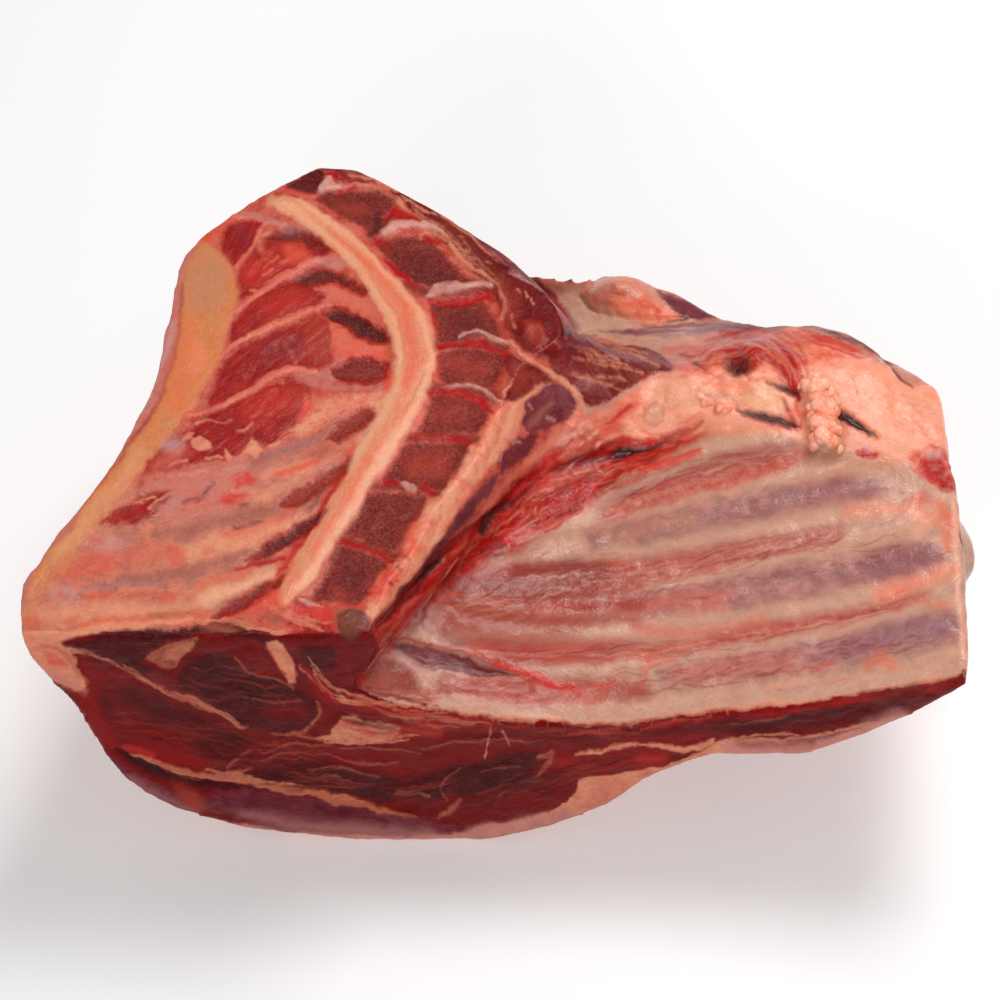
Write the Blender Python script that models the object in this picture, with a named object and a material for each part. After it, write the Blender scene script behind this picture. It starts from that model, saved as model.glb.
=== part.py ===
"""Lamb forequarter: one half of a fore end, split down the backbone and laid on its shoulder.

The sawn backbone and the hollow of the ribs face up. Sizes are millimetres until a mesh is made:
+X runs from the withers to the breast, +Y from the cut behind the ribs to the neck, +Z up.
The flesh is one solid drawn through a few long lines, such as the edge of the sawn face or the
foot of the rib wall. Bones, discs, cord and ligament are let into it with a thin gap round them.
"""
import math

import bmesh
import bpy
import numpy as np
from mathutils import Vector
from mathutils.bvhtree import BVHTree

METRE = 0.001            # one millimetre in metres
GAP = 0.3                # room left round every piece that is let into another
SAWN_Z = 120.0           # height of the sawn face above the table
REAR_Y = -98.5           # foot of the cross cut behind the ribs
REAR_LEAN = 6.0          # how far that cut leans back at the height of the sawn face
LEAN_ENDS_Y = -60.0      # in front of this the lean has died away
NECK_Y = 97.0            # furthest corner of the neck
STATION_COUNT = 37       # cross sections along the flesh
CUT_OVERRUN = 3.0        # how far a cutter runs on past an open end
SHARP_ANGLE = 40.0       # degrees between faces where the shading breaks
MITRE_LIMIT = 0.4        # smallest spread allowed at a corner of a grown outline

# Long lines of the flesh: (y, x) at the sawn face, (y, x, z) elsewhere.
SAWN_LEFT = [(-97, -147.5), (-81, -149), (-64, -142.5), (-28, -123), (16, -110),
             (53.5, -107), (75.7, -90.5), (97, -62)]
SAWN_RIGHT = [(-97, -40), (-80, -37), (-68, -30), (-44, -19), (-25.6, -9), (-8.5, -2),
              (10, 6), (26.4, 20), (39, 16.6), (66, -6.7), (97, -51)]
STRIP_EDGE = [(-97, -38, 112), (-81, -31, 112), (-48, -12.7, 112), (-10, 6.5, 112),
              (9, 15, 112), (26, 24, 115), (39, 19.6, 114), (66, -3, 113), (97, -47, 113)]
THROAT_MUSCLE = [(-97, -42, 100), (-75, -26, 100), (-48, -10, 102), (-23, 4, 102),
                 (1, 19, 103), (15, 33, 106), (26, 38, 105), (40, 31, 98), (60, 6, 98),
                 (75, -8, 96), (97, -43, 96)]
CREVICE = [(-97, -47, 91), (-75, -32, 90), (-51, -16, 88), (-31, 1, 88), (-13, 20, 89),
           (2, 40, 91), (14, 50, 98), (26, 54, 98), (40, 46, 90), (60, 18, 80),
           (75, 5, 65), (87, -12, 58), (97, -40, 86)]
BOWL_INNER = [(-97, -20, 76), (-75, -5, 81), (-50, 12, 83), (-25, 32, 86), (0, 55, 93),
              (20, 70, 101), (40, 64, 93), (60, 36, 79), (75, 22, 69), (87, 5, 57), (97, -39, 80)]
BOWL_LOW = [(-97, 25, 69.5), (-75, 38, 78), (-50, 50, 84), (-25, 66, 90), (0, 78, 97),
            (22, 88, 104), (40, 84, 94), (60, 55, 80), (75, 38, 75), (87, 18, 62), (97, -38, 76)]
BOWL_OUTER = [(-97, 87, 79.5), (-75, 92, 86), (-50, 100, 92), (-25, 105, 96), (0, 111, 101),
              (22, 117, 104), (40, 104, 98), (60, 68, 80), (75, 54, 76), (87, 28, 68), (97, -38, 72)]
RIM_TOP = [(-97, 147.5, 100), (-75, 148.5, 102), (-44, 149, 101), (0, 148.5, 98),
           (21, 147.5, 95), (30, 135, 95), (39, 125, 97), (47, 111, 96), (52, 93, 91),
           (60, 81, 84), (71, 70, 77), (81, 50, 75), (87, 36, 70), (97, -38, 68)]
RIM_FOOT = [(-97, 147, 92), (-75, 149, 87), (-44, 150, 83), (0, 149.5, 81), (21, 148, 79),
            (39, 123, 77), (59, 79, 68), (75, 60, 60), (87, 36, 58), (97, -39, 65)]
WALL_FOOT = [(-97, 127, 70), (-75, 130, 70), (-44, 132, 68), (0, 130, 67), (22, 127, 66),
             (40, 108, 62), (59, 74, 54), (75, 56, 47), (87, 32, 52), (97, -40, 63)]
ARMPIT = [(-97, 97, 53), (-44, 100, 52), (0, 100, 50), (22, 97, 49), (40, 90, 44),
          (59, 68, 38), (75, 48, 35), (87, 26, 46), (97, -42, 61)]
ELBOW_TOP = [(-97, 70, 52), (-44, 75, 42), (0, 78, 38), (22, 75, 35), (40, 70, 27),
             (59, 58, 22), (75, 36, 26), (87, 14, 44), (97, -44, 60)]
ELBOW_FOOT = [(-97, 47, 36), (-44, 56, 22), (0, 60, 17), (22, 57, 15), (40, 52, 10),
              (59, 42, 10), (75, 22, 21), (87, 0, 44), (97, -46, 60)]
SHOULDER_FOOT = [(-97, 28, 15), (-44, 38, 5), (0, 42, 2), (22, 40, 2), (40, 34, 2),
                 (59, 24, 4), (75, 5, 18), (87, -14, 45), (97, -47, 60)]
REST_RIGHT = [(-97, -5, 0), (-44, 10, 0), (0, 15, 0), (36, 5, 0), (59, -5, 4), (75, -17, 19),
              (87, -27, 46), (97, -49, 60)]
REST_LEFT = [(-97, -48, 0), (-44, -60, 0), (0, -62, 0), (36, -50, 0), (59, -45, 13),
             (75, -48, 34), (87, -48, 52), (97, -52, 62)]
FLANK_LOW = [(-97, -94, 11), (-44, -98, 8), (0, -94, 8), (22, -90, 12), (40, -82, 22),
             (59, -76, 38), (75, -70, 52), (87, -60, 60), (97, -55, 66)]
FLANK_MID = [(-97, -123, 38), (-44, -124, 36), (0, -118, 34), (22, -112, 38), (40, -104, 48),
             (59, -92, 58), (75, -80, 66), (87, -68, 70), (97, -58, 73)]
FLANK_HIGH = [(-97, -134, 80), (-44, -134, 78), (0, -123, 74), (22, -116, 76), (40, -110, 80),
              (59, -102, 84), (75, -89, 86), (87, -74, 88), (97, -60.5, 88)]
WITHERS_LIP = [(-97, -146, 107), (-64, -143, 103), (-44, -134, 101), (0, -117.5, 101),
               (22, -111.5, 102), (53, -107, 103), (75, -90, 104), (87, -75, 105), (97, -61.3, 105)]

# Lumps of fat that stand on the ridge over the ribs and on the shoulder: (x, y, radius, height).
FAT_LUMPS = [(34, 8, 12, 5), (62, 20, 13, 4), (84, 36, 14, 5), (110, 38, 13, 4),
             (128, 24, 12, 3), (41, 79, 13, 9), (58, 72, 13, 4)]

# Ends of each joint between two bodies of the backbone, on the canal's side and on the far side.
DISC_LINES = [((-60.7, 90.3), (-42.2, 85.4)), ((-41.4, 66.5), (-22.2, 66.0)),
              ((-25.3, 43.2), (-2.7, 44.1)), ((-19.4, 21.0), (1.6, 18.1)),
              ((-20.8, 1.6), (0.0, -1.2)), ((-28.3, -15.3), (-9.0, -19.3)),
              ((-37.3, -35.0), (-19.1, -38.9)), ((-51.6, -57.4), (-32.9, -62.3)),
              ((-58.4, -81.0), (-41.5, -85.0))]
DISC_THICKNESS = [3.0, 3.0, 5.0, 3.4, 3.0, 2.6, 2.6, 2.6, 2.0]
DISC_DEPTH = 12.0
BODY_DEPTH = 13.0
BODY_WAIST = 1.2         # how far a body narrows halfway between its joints

# Spines that stand up from the arches: root, tip, and width at the root.
SPINES = [((-60.1, 61.3), (-78.8, 66.5), 3.6), ((-45.2, 43.6), (-67.0, 49.2), 5.0),
          ((-37.5, 23.0), (-57.2, 32.7), 5.6), ((-37.9, 9.0), (-64.3, 9.0), 6.4),
          ((-41.4, -9.3), (-82.0, -23.0), 7.5), ((-53.7, -29.5), (-96.0, -47.5), 7.0),
          ((-60.7, -47.8), (-94.1, -68.0), 7.0), ((-73.3, -72.9), (-89.0, -82.5), 6.0)]
SPINE_TIP_SHARE = 0.45   # width of a spine's tip as a share of its root
SPINE_DEPTH = 4.0
ARCH_DEPTH = 10.0
ARCH_WIDTH = 8.0

CANAL = [(-76.0, 82.6), (-63.5, 72.1), (-52.0, 60.8), (-41.6, 46.2), (-33.7, 33.9),
         (-28.6, 22.6), (-27.5, 11.9), (-29.9, 0.8), (-33.9, -11.3), (-40.0, -25.6),
         (-45.2, -37.4), (-53.0, -52.8), (-60.1, -65.3), (-66.9, -77.7), (-72.4, -91.7)]
CORD_WIDTH = 10.5
CORD_DEPTH = 6.0
CORD_PROUD = 0.8
CORD_STEPS = 22

LIGAMENT_LEFT = [(-97.5, 60.4), (-103.5, 43.2), (-105.0, 22.2), (-108.0, 3.7), (-114.5, -14.5),
                 (-123.8, -34.2), (-133.0, -55.5), (-139.5, -70.0)]
LIGAMENT_RIGHT = [(-91.0, 55.2), (-86.9, 39.0), (-87.0, 26.4), (-90.9, 11.9), (-97.3, -2.4),
                  (-106.2, -16.5), (-117.7, -38.1), (-127.6, -55.5), (-136.0, -69.0)]
LIGAMENT_DEPTH = 8.0

# Ribs under the lining of the chest, from the backbone to the breast: (x, y).
RIBS = [[(38, -15), (50, -10), (64, -6), (78, -3), (92, -0.5)],
        [(6, -40), (20.6, -35.6), (36.9, -32.5), (64, -27.9), (91, -23.6), (128, -17)],
        [(-16, -64), (6, -66), (26, -65), (47, -62.4), (74, -56.2), (100, -51), (142, -44)],
        [(-22, -88.4), (6, -88.4), (32, -88), (60, -86), (88, -83.4), (112, -80), (143, -75.5)]]
RIB_WIDTH = 16.0
RIB_THICKNESS = 8.0
RIB_PROUD = 1.8          # how far a rib swells above the rib wall
RIB_SIDES = 12
RIB_STEPS = 13
RIB_HEAD_SHARE = 0.72    # width of a rib's head as a share of its full width
RIB_HEAD_STEPS = 6       # rings over which it widens

BLADE_AT_CUT = [(-118, 50), (-106, 44), (-92, 39), (-67, 31), (-47, 25), (-30, 17)]
BLADE_AT_NECK = [(2, 47), (7, 45), (12, 43), (18, 41), (23, 39), (28, 37)]
BLADE_THICKNESS = 4.0
BLADE_NECK_Y = 20.0      # where the guessed length of the shoulder blade ends
BLADE_STEPS = 7
BLADE_NARROWING = 1.3    # above one, the blade stays wide at first and narrows near its neck

# Foreleg below the breast: (x, y, z, radius) from inside the elbow to the sawn knuckle.
FORELEG = [(44, -14, 33, 17), (62, -13, 35, 18), (84, -11, 36, 16.5), (108, -10, 37, 14.5),
           (130, -9, 38, 13.5), (146, -9, 39, 14.5), (155, -9, 39.5, 14.5), (160.5, -9, 40, 11),
           (162.5, -9, 40, 5)]
FORELEG_SIDES = 18
FORELEG_STEPS = 22

# Tag of fat that hangs over the ridge: (x, y, lift above the flesh, radius).
FAT_TAG = [(103, 16, 1.0, 3.2), (104.3, 12, 1.6, 5.0), (105.8, 7, 1.6, 4.4), (107, 2, 2.0, 5.6),
           (107, -3, 1.8, 4.6), (107.3, -7.5, 1.4, 4.8), (107.5, -10.5, 0.8, 3.2)]
TAG_SIDES = 12
TAG_STEPS = 16
TAG_LOBES = 3
TAG_LOBE_DEPTH = 0.12


def clear_scene():
    """Remove whatever the file starts with."""
    for thing in list(bpy.data.objects):
        bpy.data.objects.remove(thing, do_unlink=True)


def material(name, colour, roughness):
    """A plain material with the piece's own colour."""
    result = bpy.data.materials.new(name)
    result.use_nodes = True
    shader = result.node_tree.nodes["Principled BSDF"]
    shader.inputs["Base Color"].default_value = (*colour, 1.0)
    shader.inputs["Roughness"].default_value = roughness
    shader.inputs["Metallic"].default_value = 0.0
    return result


def steady_slopes(at, value):
    """Slopes at the points of a curve, chosen so that it never overshoots between them."""
    step = np.diff(at)
    rise = np.diff(value) / step
    slope = np.zeros(len(value))
    slope[0] = rise[0]
    slope[-1] = rise[-1]
    for i in range(1, len(value) - 1):
        if rise[i - 1] * rise[i] > 0:
            before = 2 * step[i] + step[i - 1]
            after = step[i] + 2 * step[i - 1]
            slope[i] = (before + after) / (before / rise[i - 1] + after / rise[i])
    return slope


def smooth_line(points, positions):
    """Rows of a smooth curve whose points hold a position first and then its values."""
    table = np.array(points, dtype=float)
    table = table[np.argsort(table[:, 0])]
    at = table[:, 0]
    positions = np.clip(positions, at[0], at[-1])
    span = np.clip(np.searchsorted(at, positions, side="right") - 1, 0, len(at) - 2)
    width = at[span + 1] - at[span]
    t = (positions - at[span]) / width
    columns = []
    for column in table[:, 1:].T:
        slope = steady_slopes(at, column)
        columns.append((2 * t**3 - 3 * t**2 + 1) * column[span]
                       + (t**3 - 2 * t**2 + t) * width * slope[span]
                       + (3 * t**2 - 2 * t**3) * column[span + 1]
                       + (t**3 - t**2) * width * slope[span + 1])
    return np.stack(columns, axis=1)


def along(points, count):
    """Points spaced evenly along a smooth curve through points of any number of values."""
    table = np.array(points, dtype=float)
    reach = np.concatenate([[0.0], np.cumsum(np.linalg.norm(np.diff(table[:, :2], axis=0), axis=1))])
    return smooth_line(np.column_stack([reach, table]), np.linspace(0.0, reach[-1], count))


def make_object(name, vertices, faces, finish, smooth=True):
    """An object from points in millimetres, its faces turned outwards."""
    mesh = bpy.data.meshes.new(name)
    mesh.from_pydata([tuple(METRE * float(value) for value in point) for point in vertices], [], faces)
    work = bmesh.new()
    work.from_mesh(mesh)
    bmesh.ops.recalc_face_normals(work, faces=work.faces)
    bmesh.ops.triangulate(work, faces=[face for face in work.faces if len(face.verts) > 4])
    work.to_mesh(mesh)
    work.free()
    if smooth:
        mesh.shade_smooth()
        mesh.set_sharp_from_angle(angle=math.radians(SHARP_ANGLE))
    if finish is not None:
        mesh.materials.append(finish)
    result = bpy.data.objects.new(name, mesh)
    bpy.context.collection.objects.link(result)
    return result


def tube_faces(rings, sides):
    """Faces of a tube of equal rings, closed at both ends."""
    faces = []
    for i in range(rings - 1):
        for j in range(sides):
            k = (j + 1) % sides
            faces.append((i * sides + j, i * sides + k, (i + 1) * sides + k, (i + 1) * sides + j))
    faces.append(tuple(reversed(range(sides))))
    faces.append(tuple(range((rings - 1) * sides, rings * sides)))
    return faces


def lean(points):
    """Lean the cross cut behind the ribs back by its small angle."""
    points = np.array(points, dtype=float)
    share = np.clip((LEAN_ENDS_Y - points[:, 1]) / (LEAN_ENDS_Y - REAR_Y), 0.0, 1.0)
    points[:, 1] += REAR_LEAN * points[:, 2] / SAWN_Z * share
    return points


# Corners of one cross section of the flesh in order, with the steps up to the next corner.
# A sharp corner is a cut edge, and the others are rounded.
SECTION = [(SAWN_LEFT, 6, True), (SAWN_RIGHT, 2, True), (STRIP_EDGE, 2, False),
           (THROAT_MUSCLE, 2, False), (CREVICE, 4, False), (BOWL_INNER, 5, False),
           (BOWL_LOW, 5, False), (BOWL_OUTER, 5, False), (RIM_TOP, 2, True), (RIM_FOOT, 3, True),
           (WALL_FOOT, 3, False), (ARMPIT, 3, False), (ELBOW_TOP, 3, False),
           (ELBOW_FOOT, 2, False), (SHOULDER_FOOT, 3, False), (REST_RIGHT, 3, True),
           (REST_LEFT, 3, True), (FLANK_LOW, 3, False), (FLANK_MID, 3, False),
           (FLANK_HIGH, 2, False), (WITHERS_LIP, 2, False)]


def cross_section(corners):
    """One closed outline through the corners, rounded where they aren't sharp."""
    count = len(corners)
    outline = []
    for i in range(count):
        here = corners[i]
        there = corners[(i + 1) % count]
        before = here if SECTION[i][2] else corners[i - 1]
        after = there if SECTION[(i + 1) % count][2] else corners[(i + 2) % count]
        reach = np.linalg.norm(there - here)
        start = unit(there - before) * reach
        end = unit(after - here) * reach
        for k in range(SECTION[i][1]):
            t = k / SECTION[i][1]
            outline.append((2 * t**3 - 3 * t**2 + 1) * here + (t**3 - 2 * t**2 + t) * start
                           + (3 * t**2 - 2 * t**3) * there + (t**3 - t**2) * end)
    return outline


def unit(vector):
    """The vector at length one, or nothing where it has no length."""
    length = np.linalg.norm(vector)
    return vector / length if length > 0 else vector


def flesh_points():
    """All points of the flesh, one cross section after another."""
    stations = np.linspace(REAR_Y, NECK_Y, STATION_COUNT)
    lines = []
    for line, _steps, _sharp in SECTION:
        values = smooth_line(line, stations)
        if values.shape[1] == 1:
            values = np.column_stack([values, np.full(len(stations), SAWN_Z)])
        lines.append(values)
    points = []
    for i, y in enumerate(stations):
        outline = cross_section([values[i] for values in lines])
        points += [(x, y, max(z, 0.0)) for x, z in outline]
    points = np.array(points)
    for x, y, radius, height in FAT_LUMPS:
        near = 1.0 - ((points[:, 0] - x) ** 2 + (points[:, 1] - y) ** 2) / radius**2
        above = points[:, 2] > SAWN_Z / 2
        points[:, 2] += np.where(above & (points[:, 2] < SAWN_Z - 1.0), height * np.clip(near, 0, 1) ** 2, 0)
    return lean(points)


def make_flesh(finish):
    """The whole body of meat, before anything is let into it."""
    sides = sum(steps for _line, steps, _sharp in SECTION)
    return make_object("flesh", flesh_points(), tube_faces(STATION_COUNT, sides), finish)


def height_finder(body):
    """A function that gives the height of a body's top at (x, y), in millimetres."""
    tree = BVHTree.FromPolygons([vertex.co for vertex in body.data.vertices],
                                [tuple(face.vertices) for face in body.data.polygons])

    def height(x, y):
        start = Vector((x * METRE, y * METRE, 2 * SAWN_Z * METRE))
        place, _normal, _index, _distance = tree.ray_cast(start, Vector((0.0, 0.0, -1.0)))
        return place.z / METRE
    return height


def cut(target, cutter):
    """Cut a cutter's shape out of a piece."""
    cutter.hide_render = True
    cutter.display_type = "WIRE"
    step = target.modifiers.new("cut_" + cutter.name, "BOOLEAN")
    step.operation = "DIFFERENCE"
    step.solver = "EXACT"
    step.object = cutter


def grown(outline, distance):
    """A closed outline moved outwards by a distance."""
    outline = np.array(outline, dtype=float)
    following = np.roll(outline, -1, axis=0)
    turning = np.sum(outline[:, 0] * following[:, 1] - following[:, 0] * outline[:, 1])
    side = 1.0 if turning > 0 else -1.0
    result = []
    for i, here in enumerate(outline):
        first = unit(here - outline[i - 1])
        second = unit(following[i] - here)
        outward = np.array([first[1] + second[1], -first[0] - second[0]])
        spread = max(1.0 + first @ second, MITRE_LIMIT)
        result.append(here + side * distance * outward / spread)
    return result


def slab(name, outline, depths, finish, top=SAWN_Z, grow=0.0):
    """A solid under an outline on the sawn face, with a depth at each of its corners."""
    outline = grown(outline, grow)
    over = CUT_OVERRUN if grow > 0 else 0.0
    count = len(outline)
    points = [(x, y, top + over) for x, y in outline]
    points += [(x, y, top - depth - grow) for (x, y), depth in zip(outline, depths)]
    faces = [tuple(range(count)), tuple(reversed(range(count, 2 * count)))]
    for i in range(count):
        k = (i + 1) % count
        faces.append((i, k, k + count, i + count))
    return make_object(name, points, faces, finish, smooth=False)


def let_into(flesh, name, outline, depths, finish, top=SAWN_Z):
    """A slab in the sawn face, and the room for it in the flesh."""
    piece = slab(name, outline, depths, finish, top)
    cut(flesh, slab("room_" + name, outline, depths, None, top, GAP))
    return piece


def shifted_line(index, distance):
    """A joint line of the backbone moved along the backbone by a distance."""
    left, right = (np.array(point, dtype=float) for point in DISC_LINES[index])
    side = unit(right - left)
    return left + np.array([side[1], -side[0]]) * distance, right + np.array([side[1], -side[0]]) * distance


def vertebra_outline(index):
    """One body of the backbone with the arch over the canal and its spine."""
    upper_left, upper_right = shifted_line(index, DISC_THICKNESS[index] / 2 + GAP)
    lower_left, lower_right = shifted_line(index + 1, -DISC_THICKNESS[index + 1] / 2 - GAP)
    root, tip, width = SPINES[index]
    root = np.array(root)
    tip = np.array(tip)
    middle = (upper_left + lower_left) / 2
    waist = unit(lower_right - upper_right)
    bulge = (upper_right + lower_right) / 2 + np.array([waist[1], -waist[0]]) * BODY_WAIST
    across = unit(root - middle)
    side = np.array([across[1], -across[0]]) * ARCH_WIDTH / 2
    spine_side = np.array([(tip - root)[1], -(tip - root)[0]])
    spine_side = unit(spine_side) * width / 2
    tip_side = spine_side * SPINE_TIP_SHARE
    outline = [upper_left, middle + side, root + spine_side, tip + tip_side, tip - tip_side,
               root - spine_side, middle - side, lower_left, lower_right, bulge, upper_right]
    depths = [BODY_DEPTH, BODY_DEPTH, ARCH_DEPTH, SPINE_DEPTH, SPINE_DEPTH, ARCH_DEPTH,
              BODY_DEPTH, BODY_DEPTH, BODY_DEPTH, BODY_DEPTH, BODY_DEPTH]
    return outline, depths


def strip_outline(centre, width, count):
    """The two sides of a strip of even width along a curve, as one closed outline."""
    line = along(centre, count)
    direction = np.gradient(line, axis=0)
    direction /= np.linalg.norm(direction, axis=1)[:, None]
    side = np.column_stack([direction[:, 1], -direction[:, 0]]) * width / 2
    return list(line + side) + list((line - side)[::-1])


def make_cord(flesh, bones, finish):
    """The cord in its canal, a little proud of the sawn face, and the canal through the bones."""
    outline = strip_outline(CANAL, CORD_WIDTH, CORD_STEPS)
    depth = CORD_DEPTH + CORD_PROUD
    piece = let_into(flesh, "spinal_cord", outline, [depth] * len(outline), finish, SAWN_Z + CORD_PROUD)
    for bone in bones:
        cut(bone, bpy.data.objects["room_spinal_cord"])
    return piece


def rib_rings(points, height, grow):
    """Rings of a flattened rib that lies half sunk in the rib wall."""
    line = along(points, RIB_STEPS)
    direction = np.gradient(line, axis=0)
    direction /= np.linalg.norm(direction, axis=1)[:, None]
    rings = []
    for i, (x, y) in enumerate(line):
        widening = math.sin(math.pi / 2 * min((i + 1) / RIB_HEAD_STEPS, 1.0))
        taper = RIB_HEAD_SHARE + (1.0 - RIB_HEAD_SHARE) * widening
        z = height(x, y) + RIB_PROUD - RIB_THICKNESS / 2
        push = grow * ((i == RIB_STEPS - 1) - (i == 0))
        for k in range(RIB_SIDES):
            angle = 2 * math.pi * k / RIB_SIDES
            across = (RIB_WIDTH * taper / 2 + grow) * math.cos(angle)
            rings.append((x + direction[i, 1] * across + direction[i, 0] * push,
                          y - direction[i, 0] * across + direction[i, 1] * push,
                          z + (RIB_THICKNESS / 2 + grow) * math.sin(angle)))
    return rings


def make_rib(flesh, index, height, finish):
    """One rib and the room for it in the rib wall."""
    name = "rib_%d" % (index + 1)
    faces = tube_faces(RIB_STEPS, RIB_SIDES)
    cut(flesh, make_object("room_" + name, rib_rings(RIBS[index], height, GAP), faces, None))
    return make_object(name, rib_rings(RIBS[index], height, 0.0), faces, finish)


def blade_rings(grow, behind=0.0):
    """Rings of the shoulder blade, wide at the cross cut and narrow towards the joint."""
    wide = np.array(BLADE_AT_CUT, dtype=float)
    narrow = np.array(BLADE_AT_NECK, dtype=float)
    rings = []
    for i in range(BLADE_STEPS):
        share = i / (BLADE_STEPS - 1)
        bow = share ** BLADE_NARROWING
        line = (1 - bow) * wide + bow * narrow
        y = REAR_Y + (BLADE_NECK_Y - REAR_Y + grow) * share
        direction = np.gradient(line, axis=0)
        direction /= np.linalg.norm(direction, axis=1)[:, None]
        side = np.column_stack([-direction[:, 1], direction[:, 0]]) * (BLADE_THICKNESS / 2 + grow)
        ends = direction * 0.0
        ends[0] = -direction[0] * grow
        ends[-1] = direction[-1] * grow
        ring = list(line + side + ends) + list((line - side + ends)[::-1])
        if i == 0 and behind > 0:
            rings += [(x, REAR_Y - behind, z) for x, z in ring]
        rings += [(x, y, z) for x, z in ring]
    return lean(rings)


def make_blade(flesh, finish):
    """The shoulder blade, whose edge shows as a pale band in the cross cut."""
    sides = 2 * len(BLADE_AT_CUT)
    room = make_object("room_shoulder_blade", blade_rings(GAP, behind=CUT_OVERRUN),
                       tube_faces(BLADE_STEPS + 1, sides), None)
    cut(flesh, room)
    return make_object("shoulder_blade", blade_rings(0.0), tube_faces(BLADE_STEPS, sides), finish)


def round_rings(line, sides, grow, lobes=0):
    """Rings of a round tube along rows of (x, y, z, radius), with lobes round it if wanted."""
    centre = line[:, :3].copy()
    direction = np.gradient(centre, axis=0)
    centre[0] -= unit(direction[0]) * grow
    centre[-1] += unit(direction[-1]) * grow
    rings = []
    for i, point in enumerate(centre):
        forward = unit(direction[i])
        across = unit(np.cross(forward, (0.0, 0.0, 1.0)))
        upward = np.cross(across, forward)
        for k in range(sides):
            angle = 2 * math.pi * k / sides
            radius = line[i, 3] * (1 + TAG_LOBE_DEPTH * math.sin(lobes * angle + i) * (lobes > 0)) + grow
            rings.append(point + radius * (math.cos(angle) * across + math.sin(angle) * upward))
    return rings


def make_foreleg(flesh, finish):
    """The foreleg that comes out under the breast and ends in a rounded knuckle."""
    line = along(FORELEG, FORELEG_STEPS)
    faces = tube_faces(FORELEG_STEPS, FORELEG_SIDES)
    cut(flesh, make_object("room_foreleg", round_rings(line, FORELEG_SIDES, GAP), faces, None))
    return make_object("foreleg", round_rings(line, FORELEG_SIDES, 0.0), faces, finish)


def make_fat_tag(flesh, height, finish):
    """The lobed tag of fat that hangs over the ridge above the ribs."""
    line = along(FAT_TAG, TAG_STEPS)
    line[:, 2] += [height(x, y) for x, y in line[:, :2]]
    faces = tube_faces(TAG_STEPS, TAG_SIDES)
    cut(flesh, make_object("room_fat_tag", round_rings(line, TAG_SIDES, GAP, TAG_LOBES), faces, None))
    return make_object("fat_tag", round_rings(line, TAG_SIDES, 0.0, TAG_LOBES), faces, finish)


def stand_on_origin():
    """Move everything so that the bottom centre of the whole piece is the origin."""
    bpy.context.view_layer.update()
    reader = bpy.context.evaluated_depsgraph_get()
    low = np.full(3, np.inf)
    high = np.full(3, -np.inf)
    for thing in bpy.data.objects:
        if thing.display_type == "WIRE":
            continue
        mesh = thing.evaluated_get(reader).to_mesh()
        places = np.array([vertex.co[:] for vertex in mesh.vertices])
        low = np.minimum(low, places.min(axis=0))
        high = np.maximum(high, places.max(axis=0))
    for thing in bpy.data.objects:
        thing.location = (-(low[0] + high[0]) / 2, -(low[1] + high[1]) / 2, -low[2])
    bpy.context.view_layer.update()


def build():
    """Make every piece of the forequarter."""
    clear_scene()
    meat = material("meat", (0.42, 0.07, 0.06), 0.35)
    marrow = material("sawn_bone", (0.30, 0.07, 0.06), 0.5)
    cartilage = material("cartilage", (0.80, 0.62, 0.58), 0.35)
    nerve = material("nerve", (0.86, 0.55, 0.38), 0.3)
    sinew = material("sinew", (0.80, 0.55, 0.28), 0.35)
    lining = material("rib_lining", (0.55, 0.35, 0.36), 0.25)
    fat = material("fat", (0.88, 0.60, 0.48), 0.35)

    flesh = make_flesh(meat)
    height = height_finder(flesh)
    backbone = []
    for i in range(len(SPINES)):
        outline, depths = vertebra_outline(i)
        backbone.append(let_into(flesh, "vertebra_%d" % (i + 1), outline, depths, marrow))
    for i in range(len(SPINES)):
        upper = shifted_line(i, -DISC_THICKNESS[i] / 2)
        lower = shifted_line(i, DISC_THICKNESS[i] / 2)
        outline = [upper[0], lower[0], lower[1], upper[1]]
        backbone.append(let_into(flesh, "disc_%d" % (i + 1), outline, [DISC_DEPTH] * 4, cartilage))
    make_cord(flesh, backbone, nerve)
    ligament = LIGAMENT_LEFT + LIGAMENT_RIGHT[::-1]
    let_into(flesh, "nuchal_ligament", ligament, [LIGAMENT_DEPTH] * len(ligament), sinew)
    for i in range(len(RIBS)):
        make_rib(flesh, i, height, lining)
    make_blade(flesh, cartilage)
    make_foreleg(flesh, fat)
    make_fat_tag(flesh, height, fat)
    stand_on_origin()


build()
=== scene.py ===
"""Raw lamb forequarter for a studio render: its fine surface, its colours, the floor, light and camera.

The solids are merged into one fine skin. Every mark on it is placed in the photograph's
own pixels and laid on the skin through the camera below: "ground" is soft colour, "inks" are
crisp shapes held as distances to their edge, "glaze" is soft colour over the inks, and "relief"
lifts or sinks the skin in millimetres.
"""
import itertools
import math

import bmesh
import bpy
import numpy as np
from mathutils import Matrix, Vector
from mathutils.bvhtree import BVHTree


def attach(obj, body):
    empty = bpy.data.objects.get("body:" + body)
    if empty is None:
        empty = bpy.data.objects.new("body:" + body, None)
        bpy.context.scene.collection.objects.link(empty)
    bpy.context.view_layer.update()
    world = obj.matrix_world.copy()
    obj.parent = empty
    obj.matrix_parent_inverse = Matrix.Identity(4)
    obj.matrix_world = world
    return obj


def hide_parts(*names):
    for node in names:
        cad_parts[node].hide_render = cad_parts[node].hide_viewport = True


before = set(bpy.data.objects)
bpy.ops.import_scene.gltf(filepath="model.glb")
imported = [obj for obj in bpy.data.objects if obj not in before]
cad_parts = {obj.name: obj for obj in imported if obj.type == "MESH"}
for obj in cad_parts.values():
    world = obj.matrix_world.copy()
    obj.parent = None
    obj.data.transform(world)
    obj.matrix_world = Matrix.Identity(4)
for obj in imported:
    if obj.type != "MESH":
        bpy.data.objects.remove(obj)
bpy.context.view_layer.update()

MM = 0.001
SAWN_Z = 120.0                # height of the sawn face, millimetres
FINE_VOXEL = 1.0              # size of the skin's cells, millimetres, halved where the camera looks
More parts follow.
